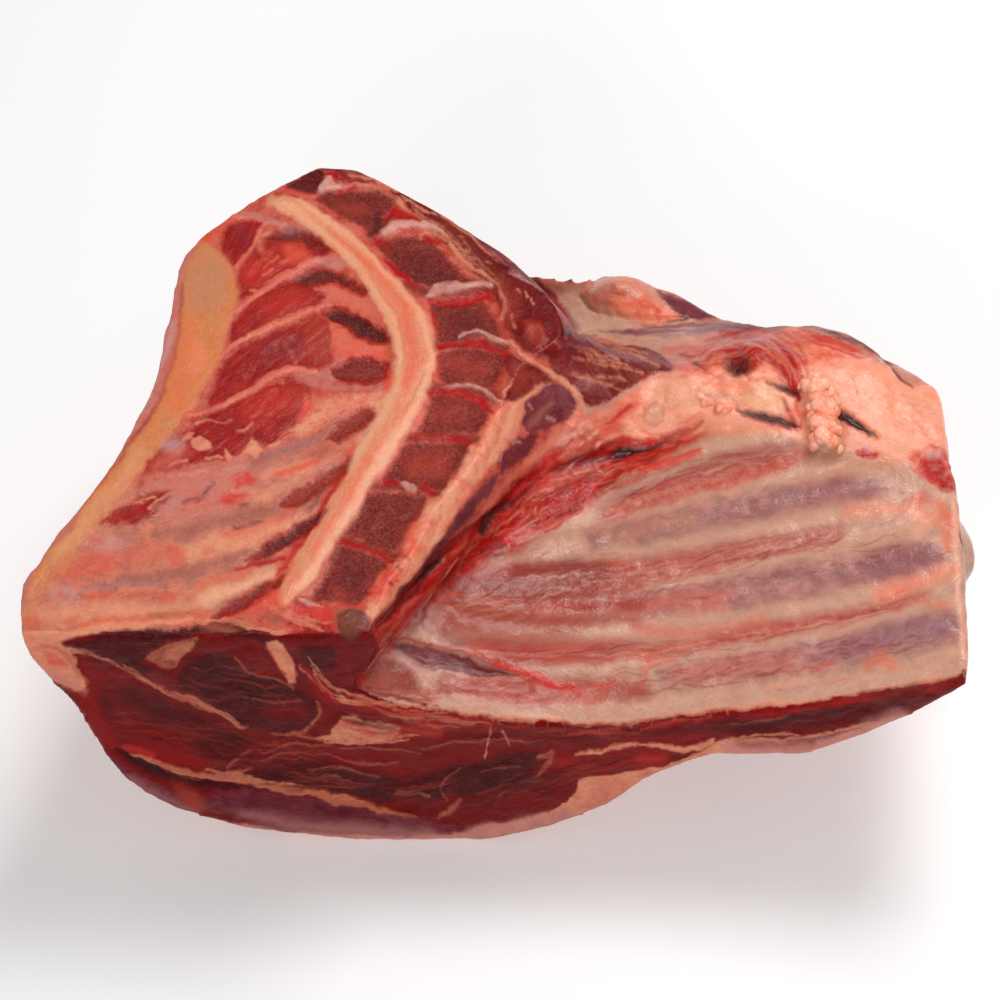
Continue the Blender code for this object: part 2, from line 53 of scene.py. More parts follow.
MM_PER_PIXEL = 0.34
REAR_EDGE_Y = -97.7           # foot of the cross cut behind the ribs, and its lean per millimetre up
REAR_LEAN = 0.05
SHAPE_SWELL = 1.1             # how far soft swells and frays move the skin, millimetres
SHAPE_FRAY = 0.4
SWELL_SIZE = 24.0             # and how wide they are
FRAY_SIZE = 5.0
EDGE_ROUNDS = 3               # how often the skin is evened out: everywhere, in the trough, behind
TROUGH_ROUNDS = 18
REAR_ROUNDS = 8
TROUGH_FOOT_Z = 56.0
GAP_CLOSER = 0.36             # how far inlaid solids grow to meet the flesh, millimetres
# Where the sawn face ends towards the ribs: y and x.
THROAT_EDGE = [(-97, -46), (-68, -36), (-44, -25), (-25, -15), (-8, -8), (11, 0), (27, 14), (40, 10),
               (67, -13), (98, -57)]

# The camera: it looks along +Y and down, and the photograph's pixels are read through it.
LOOK_DOWN = math.radians(55.0)
CAMERA_DISTANCE = 1100.0
CAMERA_TARGET = np.array([-6.6, 0.75, 60.0])
PIXELS = 1000.0
SENSOR = 36.0
AWAY = np.array([0.0, -math.cos(LOOK_DOWN), math.sin(LOOK_DOWN)])
UPWARD = np.array([0.0, math.sin(LOOK_DOWN), math.cos(LOOK_DOWN)])
CAMERA_PLACE = CAMERA_TARGET + AWAY * CAMERA_DISTANCE
FOCAL_PIXELS = CAMERA_DISTANCE / MM_PER_PIXEL

# Colours as they look on a screen.
COLOURS = {
    "pale": (214, 122, 96), "cream": (226, 148, 114), "ivory": (232, 168, 132),
    "white_fat": (246, 172, 144), "peach": (236, 132, 100), "coral": (222, 86, 64),
    # The grey film colour below also paints grey shade along the bones on the sawn face.
    "pinkish": (204, 100, 84), "salmon": (214, 104, 84), "grey_film_and_shade": (166, 100, 86),
    "lilac": (186, 122, 116), "edge_pink": (196, 116, 104), "amber": (204, 134, 84),
    "amber_dark": (214, 122, 70), "orange": (222, 106, 70), "meat": (168, 30, 28),
    "meat_dark": (128, 20, 24), "scarlet": (196, 52, 40), "brick": (116, 17, 17),
    "rust": (170, 60, 44), "dark": (78, 13, 17), "darkest": (56, 10, 14), "plum": (96, 30, 42),
    "violet": (118, 48, 60), "bluish": (150, 108, 116), "silver": (196, 150, 146),
    "lining": (188, 138, 118), "lining_pale": (204, 154, 130), "lining_violet": (150, 98, 94),
    "lining_deep": (146, 92, 92), "olive": (180, 126, 98), "stripe": (166, 66, 60),
    "stripe_deep": (142, 44, 44), "marrow": (128, 36, 30), "marrow_dark": (92, 22, 20),
    # The pale gristle colour below also paints glints on wet meat.
    "marrow_pale": (164, 78, 62), "gristle_and_glint": (218, 170, 160), "gristle_pink": (198, 120, 112),
    "rose": (204, 48, 42), "rose_pale": (216, 84, 72), "blood": (188, 12, 12),
    "blood_dark": (128, 4, 8), "black": (34, 4, 6), "black_violet": (50, 22, 32),
    "tan": (158, 86, 62), "seam": (178, 92, 74), "cover": (200, 134, 116), "cover_pink": (186, 104, 94),
    "cord": (222, 148, 110), "cord_pink": (224, 118, 88), "bone_grey": (116, 64, 50),
    "wine": (98, 9, 13), "wine_light": (134, 16, 18), "film_dark": (134, 62, 52), "film_red": (160, 62, 48),
    "crimson": (170, 10, 16),
}

# The inks from the lowest to the highest: two colours that mix in blots, edge softness and
# edge wobble in pixels, how much of what lies below they hide, and how much they thin in places.
INKS = [
    ("meat", "meat", "meat_dark", 2.4, 3.0, 0.97, 0.1),
    ("dark", "dark", "darkest", 2.6, 3.0, 0.97, 0.1),
    ("plum", "plum", "violet", 2.6, 3.0, 0.97, 0.15),
    ("brick", "brick", "wine", 2.2, 3.0, 0.97, 0.15),
    ("stripe", "stripe", "stripe_deep", 5.0, 4.0, 0.85, 0.35),
    ("fat", "pale", "cream", 1.7, 2.6, 0.92, 0.2),
    ("seam", "seam", "tan", 1.7, 2.6, 0.88, 0.5),
    ("gold", "amber", "amber_dark", 4.0, 2.0, 0.85, 0.05),
    ("marrow", "marrow", "marrow_dark", 2.8, 3.6, 0.94, 0.15),
    ("cord", "cord", "cord_pink", 2.0, 1.2, 0.94, 0.02),
    # The pale gristle ink below also paints glints on wet meat.
    ("gristle_and_glint", "gristle_and_glint", "gristle_pink", 1.8, 2.6, 0.9, 0.35),
    ("rose", "rose", "rose_pale", 2.8, 4.0, 0.85, 0.45),
    ("blood", "blood", "blood_dark", 2.6, 4.0, 0.92, 0.3),
    ("black", "black", "black_violet", 2.4, 2.0, 0.95, 0.1),
]
OUTSIDE = -40.0               # an ink's distance where it isn't painted
FRONT_FADE = 40.0             # how far the unseen sides' inks sink where the camera looks
REGION_EDGE = 0.45            # share in a region up to which its inks fade, and how far they sink there
REGION_FADE = 30.0
EDGE_WOBBLE = 3.4             # how far every painted edge wanders, pixels
FIBRE_STRETCH = 7.0           # how much longer than wide a muscle fibre's pattern is
STRAND_STEP = 4.0             # a strand's step along its spine and its half length, in pixels
STRAND_REACH = (10.0, 34.0)
STRAND_POINTS = 6
STRAND_TAPER = (0.1, 0.7, 1.0, 0.9, 0.6, 0.1)
REDDER = np.array([0.9, 0.76, 0.76])    # how a ground colour's blots differ from it


def linear(name):
    """A named colour in linear light."""
    return np.array([(value / 255.0) ** 2.2 for value in COLOURS[name]])


def smooth_step(low, high, value):
    """A share from 0 to 1 that rises smoothly between two values."""
    share = np.clip((value - low) / (high - low), 0.0, 1.0)
    return share * share * (3.0 - 2.0 * share)


def lumps(points, size, seed):
    """Smooth random values from -1 to 1 whose lumps have the given size."""
    scaled = np.asarray(points, dtype=float) / size
    low = np.floor(scaled).astype(np.int64)
    share = scaled - low
    share = share * share * (3.0 - 2.0 * share)
    primes = np.array([73856093, 19349663, 83492791])[:scaled.shape[1]]
    total = np.zeros(len(scaled))
    for corner in itertools.product((0, 1), repeat=scaled.shape[1]):
        key = ((low + np.array(corner)) * primes).sum(axis=1) + seed * 7919
        key = (key ^ (key >> 13)) * 1274126177
        key = (key ^ (key >> 16)) & 0xFFFF
        weight = np.prod(np.where(corner, share, 1.0 - share), axis=1)
        total += (key / 32767.5 - 1.0) * weight
    return total


def rough(points, size, seed, layers=3):
    """Random values with finer and finer lumps on each other."""
    total = np.zeros(len(points))
    for i in range(layers):
        total += lumps(points, size / 2**i, seed + i) / 2**i
    return total / (2.0 - 0.5 ** (layers - 1))


# ---------------------------------------------------------------- the skin

def closed_copy(node):
    """A CAD piece's mesh grown by a little more than the gap round it."""
    mesh = node.data.copy()
    work = bmesh.new()
    work.from_mesh(mesh)
    bmesh.ops.remove_doubles(work, verts=work.verts, dist=1e-6)
    work.normal_update()
    if node.name != "flesh":
        for vertex in work.verts:
            vertex.co += vertex.normal * GAP_CLOSER * MM * min(vertex.calc_shell_factor(), 2.5)
    work.to_mesh(mesh)
    work.free()
    return mesh


def merged_skin():
    """All the solids as one closed fine mesh."""
    parts = []
    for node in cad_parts.values():
        part = bpy.data.objects.new("part", closed_copy(node))
        bpy.context.scene.collection.objects.link(part)
        parts.append(part)
    bpy.ops.object.select_all(action="DESELECT")
    for part in parts:
        part.select_set(True)
    bpy.context.view_layer.objects.active = parts[0]
    bpy.ops.object.join()
    whole = parts[0]
    whole.data.materials.clear()
    step = whole.modifiers.new("cells", "REMESH")
    step.mode = "VOXEL"
    step.voxel_size = FINE_VOXEL * MM
    bpy.context.view_layer.update()
    reader = bpy.context.evaluated_depsgraph_get()
    mesh = bpy.data.meshes.new_from_object(whole.evaluated_get(reader))
    bpy.data.objects.remove(whole, do_unlink=True)
    return mesh


def biggest_island(faces, count):
    """Which points belong to the largest connected part of a mesh of quads."""
    label = np.arange(count)
    pairs = np.concatenate([faces[:, [0, 1]], faces[:, [1, 2]], faces[:, [2, 3]]])
    while True:
        lowest = np.minimum(label[pairs[:, 0]], label[pairs[:, 1]])
        new = label.copy()
        np.minimum.at(new, pairs[:, 0], lowest)
        np.minimum.at(new, pairs[:, 1], lowest)
        new = new[new]
        if np.array_equal(new, label):
            break
        label = new
    names, sizes = np.unique(label, return_counts=True)
    return label == names[np.argmax(sizes)]


class Skin:
    """The fine mesh and everything that is painted on it, with places in millimetres."""

    def __init__(self, mesh):
        count = len(mesh.vertices)
        place = np.empty(count * 3, dtype=np.float32)
        mesh.vertices.foreach_get("co", place)
        place = place.reshape(-1, 3).astype(float) / MM
        corners = np.empty(len(mesh.loops), dtype=np.int32)
        mesh.loops.foreach_get("vertex_index", corners)
        faces = corners.reshape(-1, 4)
        kept = biggest_island(faces, count)
        renumber = np.cumsum(kept) - 1
        self.faces = renumber[faces[kept[faces[:, 0]]]]
        self.place = place[kept]
        self.soften()
        self.look()
        self.refine()
        self.even_out(1)
        self.look()
        self.relief = np.zeros(len(self.place))
        self.ground = np.tile(linear("cover"), (len(self.place), 1))
        self.blots = self.ground * REDDER
        self.glaze = np.zeros((len(self.place), 3))
        self.glaze_share = np.zeros(len(self.place))
        self.inks = {ink[0]: np.full(len(self.place), OUTSIDE) for ink in INKS}
        self.wet = np.zeros(len(self.place))
        self.fibre_place = self.place * np.array([1.0, 1.0, 0.3])

    def look(self):
        """Directions, places in the photograph and how far each point faces the camera."""
        self.normal = self.normals()
        toward = self.place - CAMERA_PLACE
        depth = toward @ -AWAY
        self.picture = np.stack([PIXELS / 2 + FOCAL_PIXELS * toward[:, 0] / depth,
                                 PIXELS / 2 - FOCAL_PIXELS * (toward @ UPWARD) / depth], axis=1)
        self.facing = -(self.normal * toward).sum(axis=1) / np.linalg.norm(toward, axis=1)

    def refine(self):
        """Split the faces that the camera sees into four, and keep which points it sees."""
        seen = self.seen().astype(float)
        chosen = seen[self.faces].max(axis=1) > 0
        faces = self.faces[chosen]
        pairs = np.sort(np.concatenate([faces[:, [i, (i + 1) % 4]] for i in range(4)]), axis=1)
        code, where, uses = np.unique(pairs[:, 0] * len(self.place) + pairs[:, 1],
                                      return_inverse=True, return_counts=True)
        ends = np.stack([code // len(self.place), code % len(self.place)], axis=1)
        middle = (len(self.place) + where).reshape(4, -1)
        centre = len(self.place) + len(code) + np.arange(len(faces))
        quarters = [np.stack([faces[:, i], middle[i], centre, middle[i - 1]], axis=1) for i in range(4)]
        self.hinges = len(self.place) + np.flatnonzero(uses == 1)
        self.hinge_ends = ends[uses == 1]
        self.place = np.vstack([self.place, self.place[ends].mean(axis=1), self.place[faces].mean(axis=1)])
        self.shown = np.concatenate([seen, seen[ends].mean(axis=1), seen[faces].mean(axis=1)])
        self.faces = np.vstack([self.faces[~chosen], *quarters])

    def close_hinges(self):
        """Put the points between fine and plain faces back on the plain faces' edges."""
        self.place[self.hinges] = self.place[self.hinge_ends].mean(axis=1)

    def soften(self):
        """Round the solids' edges and give them the small swells of soft meat."""
        self.even_out(EDGE_ROUNDS)
        trough = (self.place[:, 0] > self.throat_edge() - 4.0) & (self.place[:, 2] > TROUGH_FOOT_Z)
        trough &= self.place[:, 1] > REAR_EDGE_Y + 5.0
        self.even_out(TROUGH_ROUNDS, np.flatnonzero(trough))
        rear = self.place[:, 1] - REAR_EDGE_Y - REAR_LEAN * self.place[:, 2]
        rear_edge = (rear < 5.0) & (self.place[:, 2] > SAWN_Z - 7.0)
        self.even_out(REAR_ROUNDS, np.flatnonzero(rear_edge))
        moved = [SHAPE_SWELL * rough(self.place, SWELL_SIZE, 300 + k)
                 + SHAPE_FRAY * rough(self.place, FRAY_SIZE, 320 + k, 2) for k in range(3)]
        self.place += np.stack(moved, axis=1)
        # The sawn face is flat again, blending into the rounded edges round it.
        flat = smooth_step(SAWN_Z - 3.2, SAWN_Z - 0.8, self.place[:, 2])
        before = self.place[:, 1] - REAR_EDGE_Y - REAR_LEAN * self.place[:, 2]
        flat *= smooth_step(0.5, 5.0, before)
        self.place[:, 2] += flat * (SAWN_Z - self.place[:, 2])

    def throat_edge(self):
        """Where the sawn face ends towards the ribs, at each point's y."""
        return np.interp(self.place[:, 1], [y for y, _x in THROAT_EDGE], [x for _y, x in THROAT_EDGE])

    def edges(self):
        """Pairs of neighbouring points."""
        return np.concatenate([self.faces[:, [i, (i + 1) % 4]] for i in range(4)])

    def even_out(self, rounds, rows=None):
        """Move points towards the middle of their neighbours."""
        pairs = self.edges()
        count = np.bincount(pairs[:, 0], minlength=len(self.place))
        for _ in range(rounds):
            total = np.stack([np.bincount(pairs[:, 0], weights=self.place[pairs[:, 1], k],
                                          minlength=len(self.place)) for k in range(3)], axis=1)
            middle = total / np.maximum(count, 1)[:, None]
            moved = 0.5 * self.place + 0.5 * middle
            if rows is None:
                self.place = moved
            else:
                self.place[rows] = moved[rows]

    def blur(self, values, rounds):
        """Values averaged with their neighbours'."""
        pairs = self.edges()
        count = np.maximum(np.bincount(pairs[:, 0], minlength=len(values)), 1)
        for _ in range(rounds):
            total = np.bincount(pairs[:, 0], weights=values[pairs[:, 1]], minlength=len(values))
            values = 0.5 * values + 0.5 * total / count
        return values

    def normals(self):
        """The outward direction at every point."""
        a, b, c, d = (self.place[self.faces[:, i]] for i in range(4))
        across = np.cross(c - a, d - b)
        result = np.zeros_like(self.place)
        for i in range(4):
            for k in range(3):
                result[:, k] += np.bincount(self.faces[:, i], weights=across[:, k],
                                            minlength=len(self.place))
        return result / np.maximum(np.linalg.norm(result, axis=1), 1e-9)[:, None]

    def seen(self):
        """Which points the camera sees, not hidden behind other parts of the skin."""
        tree = BVHTree.FromPolygons([tuple(p) for p in self.place.tolist()],
                                    [tuple(f) for f in self.faces.tolist()])
        eye = Vector(CAMERA_PLACE)
        result = self.facing > 0.0
        for row in np.flatnonzero(result):
            target = Vector(self.place[row] + self.normal[row] * 1.0)
            way = eye - target
            if tree.ray_cast(target, way.normalized(), way.length)[0] is not None:
                result[row] = False
        return result


# ---------------------------------------------------------------- brushes

def curve(points, closed=False, step=7.0):
    """Points of a smooth curve through given ones, which may carry a width of their own."""
    points = np.array(points, dtype=float)
    count = len(points)
    if count < 3:
        return points
    result = []
    spans = count if closed else count - 1
    for i in range(spans):
        if closed:
            before, here, there, after = (points[(i + k) % count] for k in (-1, 0, 1, 2))
        else:
            before, here, there, after = (points[min(max(i + k, 0), count - 1)] for k in (-1, 0, 1, 2))
        pieces = max(1, int(np.linalg.norm((there - here)[:2]) / step))
        for t in np.arange(pieces) / pieces:
            result.append(0.5 * (2 * here + (there - before) * t
                                 + (2 * before - 5 * here + 4 * there - after) * t**2
                                 + (3 * here - before - 3 * there + after) * t**3))
    if not closed:
        result.append(points[-1])
    return np.array(result)


def strands(spine, spread, count, width, seed):
    """Thin lines with tapering ends at random places along and beside a curve."""
    chance = np.random.default_rng(seed)
    line = curve(spine, step=STRAND_STEP)[:, :2]
    way = np.gradient(line, axis=0)
    way /= np.maximum(np.linalg.norm(way, axis=1), 1e-6)[:, None]
    beside = np.stack([-way[:, 1], way[:, 0]], axis=1)
    for _ in range(count):
        middle = chance.uniform(0.0, len(line) - 1.0)
        reach = chance.uniform(*STRAND_REACH) / STRAND_STEP
        rows = np.clip(np.linspace(middle - reach, middle + reach, STRAND_POINTS), 0,
                       len(line) - 1).astype(int)
        narrow = min(1.0, 0.3 + 4.0 * min(middle, len(line) - 1.0 - middle) / len(line))
        side = chance.triangular(-spread, 0.0, spread) * narrow
        lean = chance.uniform(-0.25, 0.25) * spread * np.linspace(-1.0, 1.0, STRAND_POINTS)
        wave = 0.12 * spread * np.sin(np.linspace(0.0, chance.uniform(2.0, 7.0), STRAND_POINTS))
        points = line[rows] + beside[rows] * (side + lean + wave)[:, None]
        points[:, 0] += np.arange(STRAND_POINTS) * 0.01
        widths = width * chance.uniform(0.6, 1.3) * np.array(STRAND_TAPER)
        if len(np.unique(rows)) == STRAND_POINTS:
            yield np.column_stack([points, widths])


class Canvas:
    """Brushes for one region of the skin, with every shape given in the photograph's pixels.

    A shape is a line where it has a width, or where its points carry one as their third number.
    Otherwise it is an outline, and it is filled.
    """

    def __init__(self, skin, member, wobble, seed):
        self.skin = skin
        self.rows = np.flatnonzero(member > 0.01)
        self.member = member[self.rows]
        where = skin.picture[self.rows]
        shift = np.stack([rough(where, 24.0, seed + 50 * k) for k in (0, 1)], axis=1)
        fray = np.stack([rough(where, 7.0, seed + 25 + 50 * k, 2) for k in (0, 1)], axis=1)
        self.spot = where + wobble * shift + 0.5 * wobble * fray

    def measure(self, line, reach):
        """Points near a line: their rows, distance to it, its half width, and places along and beside it."""
        low, high = line[:, :2].min(axis=0) - reach, line[:, :2].max(axis=0) + reach
        near = np.flatnonzero(((self.spot > low) & (self.spot < high)).all(axis=1))
        spot = self.spot[near]
        best = np.full(len(near), 1e9)
        half, along, side, crossings = (np.zeros(len(near)) for _ in range(4))
        passed = 0.0
        for here, there in zip(line[:-1], line[1:]):
            way = (there - here)[:2]
            length = max(math.hypot(*way), 1e-6)
            offset = spot - here[:2]
            share = np.clip(offset @ way / length**2, 0.0, 1.0)
            gap = np.hypot(offset[:, 0] - share * way[0], offset[:, 1] - share * way[1])
            closer = gap < best
            best[closer] = gap[closer]
            along[closer] = passed + share[closer] * length
            side[closer] = np.sign(way[0] * offset[closer, 1] - way[1] * offset[closer, 0])
            if len(here) > 2:
                half[closer] = 0.5 * (here[2] + share[closer] * (there[2] - here[2]))
            spans = (here[1] > spot[:, 1]) != (there[1] > spot[:, 1])
            rise = way[1] if way[1] else 1e-9
            crossings += spans & (spot[:, 0] < here[0] + (spot[:, 1] - here[1]) * way[0] / rise)
            passed += length
        return near, best, half, along, side * best, crossings

    def inside(self, points, width, reach):
        """Rows near a shape, how many pixels inside it they lie, and their share in the region."""
        own_widths = len(points[0]) > 2
        filled = width is None and not own_widths
        line = curve(points, closed=filled)
        if filled:
            line = np.vstack([line, line[:1]])
        elif own_widths:
            reach = reach + line[:, 2].max()
        else:
            reach = reach + width
        near, gap, half, _along, _side, crossings = self.measure(line, reach)
        if filled:
            depth = np.where(crossings % 2 == 1, gap, -gap)
        elif own_widths:
            depth = half - gap
        else:
            depth = width / 2.0 - gap
        return self.rows[near], depth, self.member[near]

    def tint(self, colour, soft, strength, points, width=None, blots=None):
        """Soft colour on the ground, whose blots may have a colour of their own."""
        rows, depth, member = self.inside(points, width, soft)
        share = (smooth_step(-soft, soft, depth) * strength * member)[:, None]
        second = linear(blots) if blots else linear(colour) * REDDER
        self.skin.ground[rows] = (1 - share) * self.skin.ground[rows] + share * linear(colour)
        self.skin.blots[rows] = (1 - share) * self.skin.blots[rows] + share * second

    def glaze(self, colour, soft, strength, points, width=None):
        """Soft colour over the inks."""
        rows, depth, member = self.inside(points, width, soft)
        share = smooth_step(-soft, soft, depth) * strength * member
        kept = self.skin.glaze_share[rows] * (1 - share)
        total = np.maximum(kept + share, 1e-6)
        mixed = self.skin.glaze[rows] * kept[:, None] + share[:, None] * linear(colour)
        self.skin.glaze[rows] = mixed / total[:, None]
        self.skin.glaze_share[rows] = kept + share

    def ink(self, name, points, width=None, crisp=1.0, cap=20.0):
        """A shape of one ink. A low crisp softens its edge, and a low cap lets what is below show."""
        rows, depth, member = self.inside(points, width, 16.0 / crisp)
        depth = np.minimum(depth * crisp, cap) + (smooth_step(0.0, REGION_EDGE, member) - 1.0) * REGION_FADE
        self.skin.inks[name][rows] = np.maximum(self.skin.inks[name][rows], depth)

    def ink_strands(self, name, crisp, cap, *where):
        """Thin strands of one ink. The rest is what strands() takes."""
        for strand in strands(*where):
            self.ink(name, strand, crisp=crisp, cap=cap)

    def glaze_strands(self, colour, soft, strength, *where):
        """Thin strands of soft colour over the inks."""
        for strand in strands(*where):
            self.glaze(colour, soft, strength, strand)

    def lift(self, height, soft, points, width=None):
        """Raise or sink the skin in a shape, in millimetres."""
        rows, depth, member = self.inside(points, width, soft)
        self.skin.relief[rows] += height * smooth_step(-soft, soft, depth) * member

    def moisten(self, soft, points, width=None):
        """Make a shape wet."""
        rows, depth, member = self.inside(points, width, soft)
        level = smooth_step(-soft, soft, depth) * member
        self.skin.wet[rows] = np.maximum(self.skin.wet[rows], level)

    def grain(self, angle, points=None):
        """Run the fibres straight inside a shape, in degrees up from the photograph's right."""
        rows = self.rows
        if points is not None:
            near, depth, _member = self.inside(points, None, 0.0)
            rows = near[depth > 0]
        turn = math.radians(angle)
        x, y = self.skin.picture[rows, 0] * MM_PER_PIXEL, -self.skin.picture[rows, 1] * MM_PER_PIXEL
        along, beside = x * math.cos(turn) + y * math.sin(turn), y * math.cos(turn) - x * math.sin(turn)
        self.skin.fibre_place[rows] = np.stack([along / FIBRE_STRETCH, beside, 0.0 * x], axis=1)

    def follow(self, points, width):
        """Run the fibres along a curve, out to half the width on both sides."""
        near, gap, _half, along, side, _crossings = self.measure(curve(points), width)
        chosen = gap < width / 2.0
        rows = self.rows[near[chosen]]
        flow = np.stack([along / FIBRE_STRETCH, side, np.full(len(near), points[0][0] * 1.0)], axis=1)
        self.skin.fibre_place[rows] = flow[chosen] * MM_PER_PIXEL


# ---------------------------------------------------------------- the sawn face

BODIES = [
    [(314, 198), (330, 191), (352, 192), (375, 190), (394, 198), (392, 215), (382, 233), (366, 232),
     (347, 220), (328, 208)],
    [(376, 241), (398, 236), (424, 237), (440, 250), (456, 270), (480, 281), (455, 284), (424, 285),
     (402, 274), (386, 257)],
    [(430, 304), (455, 301), (484, 299), (494, 316), (501, 335), (478, 340), (455, 340), (440, 343),
     (436, 325)],
    [(440, 352), (470, 347), (503, 354), (501, 372), (492, 388), (470, 382), (441, 383), (437, 366)],
    [(431, 396), (450, 394), (472, 396), (487, 404), (488, 416), (479, 434), (450, 433), (421, 432),
     (427, 411)],
    [(409, 444), (440, 442), (470, 446), (464, 462), (452, 478), (440, 492), (422, 488), (396, 482),
     (382, 479), (394, 462)],
    [(368, 494), (396, 492), (426, 498), (421, 512), (410, 526), (398, 545), (384, 550), (362, 540),
     (344, 534), (356, 514)],
    [(340, 543), (360, 550), (390, 560), (380, 575), (368, 594), (356, 605), (336, 602), (314, 597),
     (322, 580), (331, 560)],]
JOINTS = [[(372, 236), (386, 226), (396, 214)], [(404, 288), (440, 292), (494, 290)],
          [(436, 346), (468, 343), (504, 347)], [(430, 392), (462, 388), (496, 396)],
          [(408, 438), (440, 437), (476, 440)], [(376, 486), (404, 487), (436, 495)],
          [(336, 539), (364, 546), (396, 556)]]
SLITS = [
    [(262, 239), (278, 235), (297, 233), (318, 240), (332, 249), (320, 253), (300, 245), (284, 243)],
    [(292, 279), (306, 272), (324, 269), (342, 275), (358, 283), (368, 290), (360, 295), (346, 287),
     (330, 283), (306, 285)],
    [(322, 311), (342, 311), (362, 320), (380, 330), (392, 342), (378, 344), (358, 334), (342, 324),
     (328, 319)],
    [(330, 368), (348, 361), (370, 359), (390, 366), (387, 378), (370, 382), (352, 381), (336, 377)],
    [(326, 440), (338, 428), (354, 414), (368, 408), (376, 414), (368, 424), (352, 434), (338, 444)],
    [(280, 505), (296, 490), (316, 478), (334, 468), (354, 458), (352, 468), (336, 480), (318, 492),
     (296, 506)],
    [(246, 560), (264, 548), (282, 534), (300, 522), (318, 512), (328, 510), (320, 522), (304, 534),
     (286, 546), (266, 558)],
    [(210, 618), (230, 604), (250, 592), (272, 578), (284, 574), (276, 588), (256, 602), (236, 614)],]
MUSCLES = [
    [(240, 302), (236, 280), (244, 262), (258, 246), (276, 242), (300, 248), (322, 254), (308, 262),
     (290, 270), (268, 284)],
    [(232, 344), (238, 316), (262, 295), (288, 281), (312, 285), (326, 298), (320, 308), (292, 315),
     (262, 328)],
    [(208, 408), (214, 386), (224, 364), (242, 350), (264, 337), (296, 324), (322, 316), (331, 332),
     (328, 348), (332, 364), (318, 370), (296, 367), (276, 374), (256, 386), (232, 400)],
    [(144, 474), (152, 458), (164, 444), (180, 436), (194, 426), (210, 415), (232, 406), (254, 394),
     (272, 383), (288, 378), (304, 385), (312, 398), (306, 412), (298, 424), (284, 434), (270, 444),
     (256, 441), (240, 452), (220, 460), (196, 464), (170, 470)],
    [(224, 264), (222, 246), (228, 226), (240, 220), (262, 222), (264, 232), (254, 248), (240, 264)],]
CORD_LINE = [(284, 206, 20), (310, 219, 20), (336, 237, 22), (357, 255, 24), (374, 276, 27), (391, 299, 32),
             (406, 323, 36), (414, 348, 38), (416, 372, 35), (409, 396, 33), (396, 420, 30), (380, 446, 30),
             (363, 472, 28), (346, 500, 26), (329, 528, 26), (312, 556, 26), (297, 580, 24), (284, 600, 16)]
LIGAMENT = [(203, 243), (218, 252), (230, 264), (238, 285), (238, 300), (232, 320), (223, 348), (210, 375),
            (200, 391), (184, 418), (159, 450), (142, 469), (126, 491), (102, 518), (77, 544), (53, 566),
            (30, 596), (34, 578), (58, 543), (81, 511), (103, 482), (128, 447), (148, 424), (165, 388),
            (173, 362), (179, 336), (183, 305), (187, 275), (195, 255)]
SEAMS = [
    [(228, 316, 2), (244, 303, 4), (264, 289, 4), (284, 276, 5), (304, 265, 8), (318, 260, 6)],
    [(222, 354, 3), (242, 341, 4), (262, 331, 5), (284, 321, 5), (306, 313, 4), (330, 306, 3)],
    [(186, 416, 7), (206, 411, 5), (230, 402, 5), (252, 390, 5), (272, 378, 6), (292, 370, 7),
     (314, 372, 6)],
    [(226, 214, 6), (242, 216, 5), (262, 221, 5), (284, 226, 3)],
    [(264, 222, 3), (256, 240, 4), (246, 256, 4), (236, 268, 3)],]


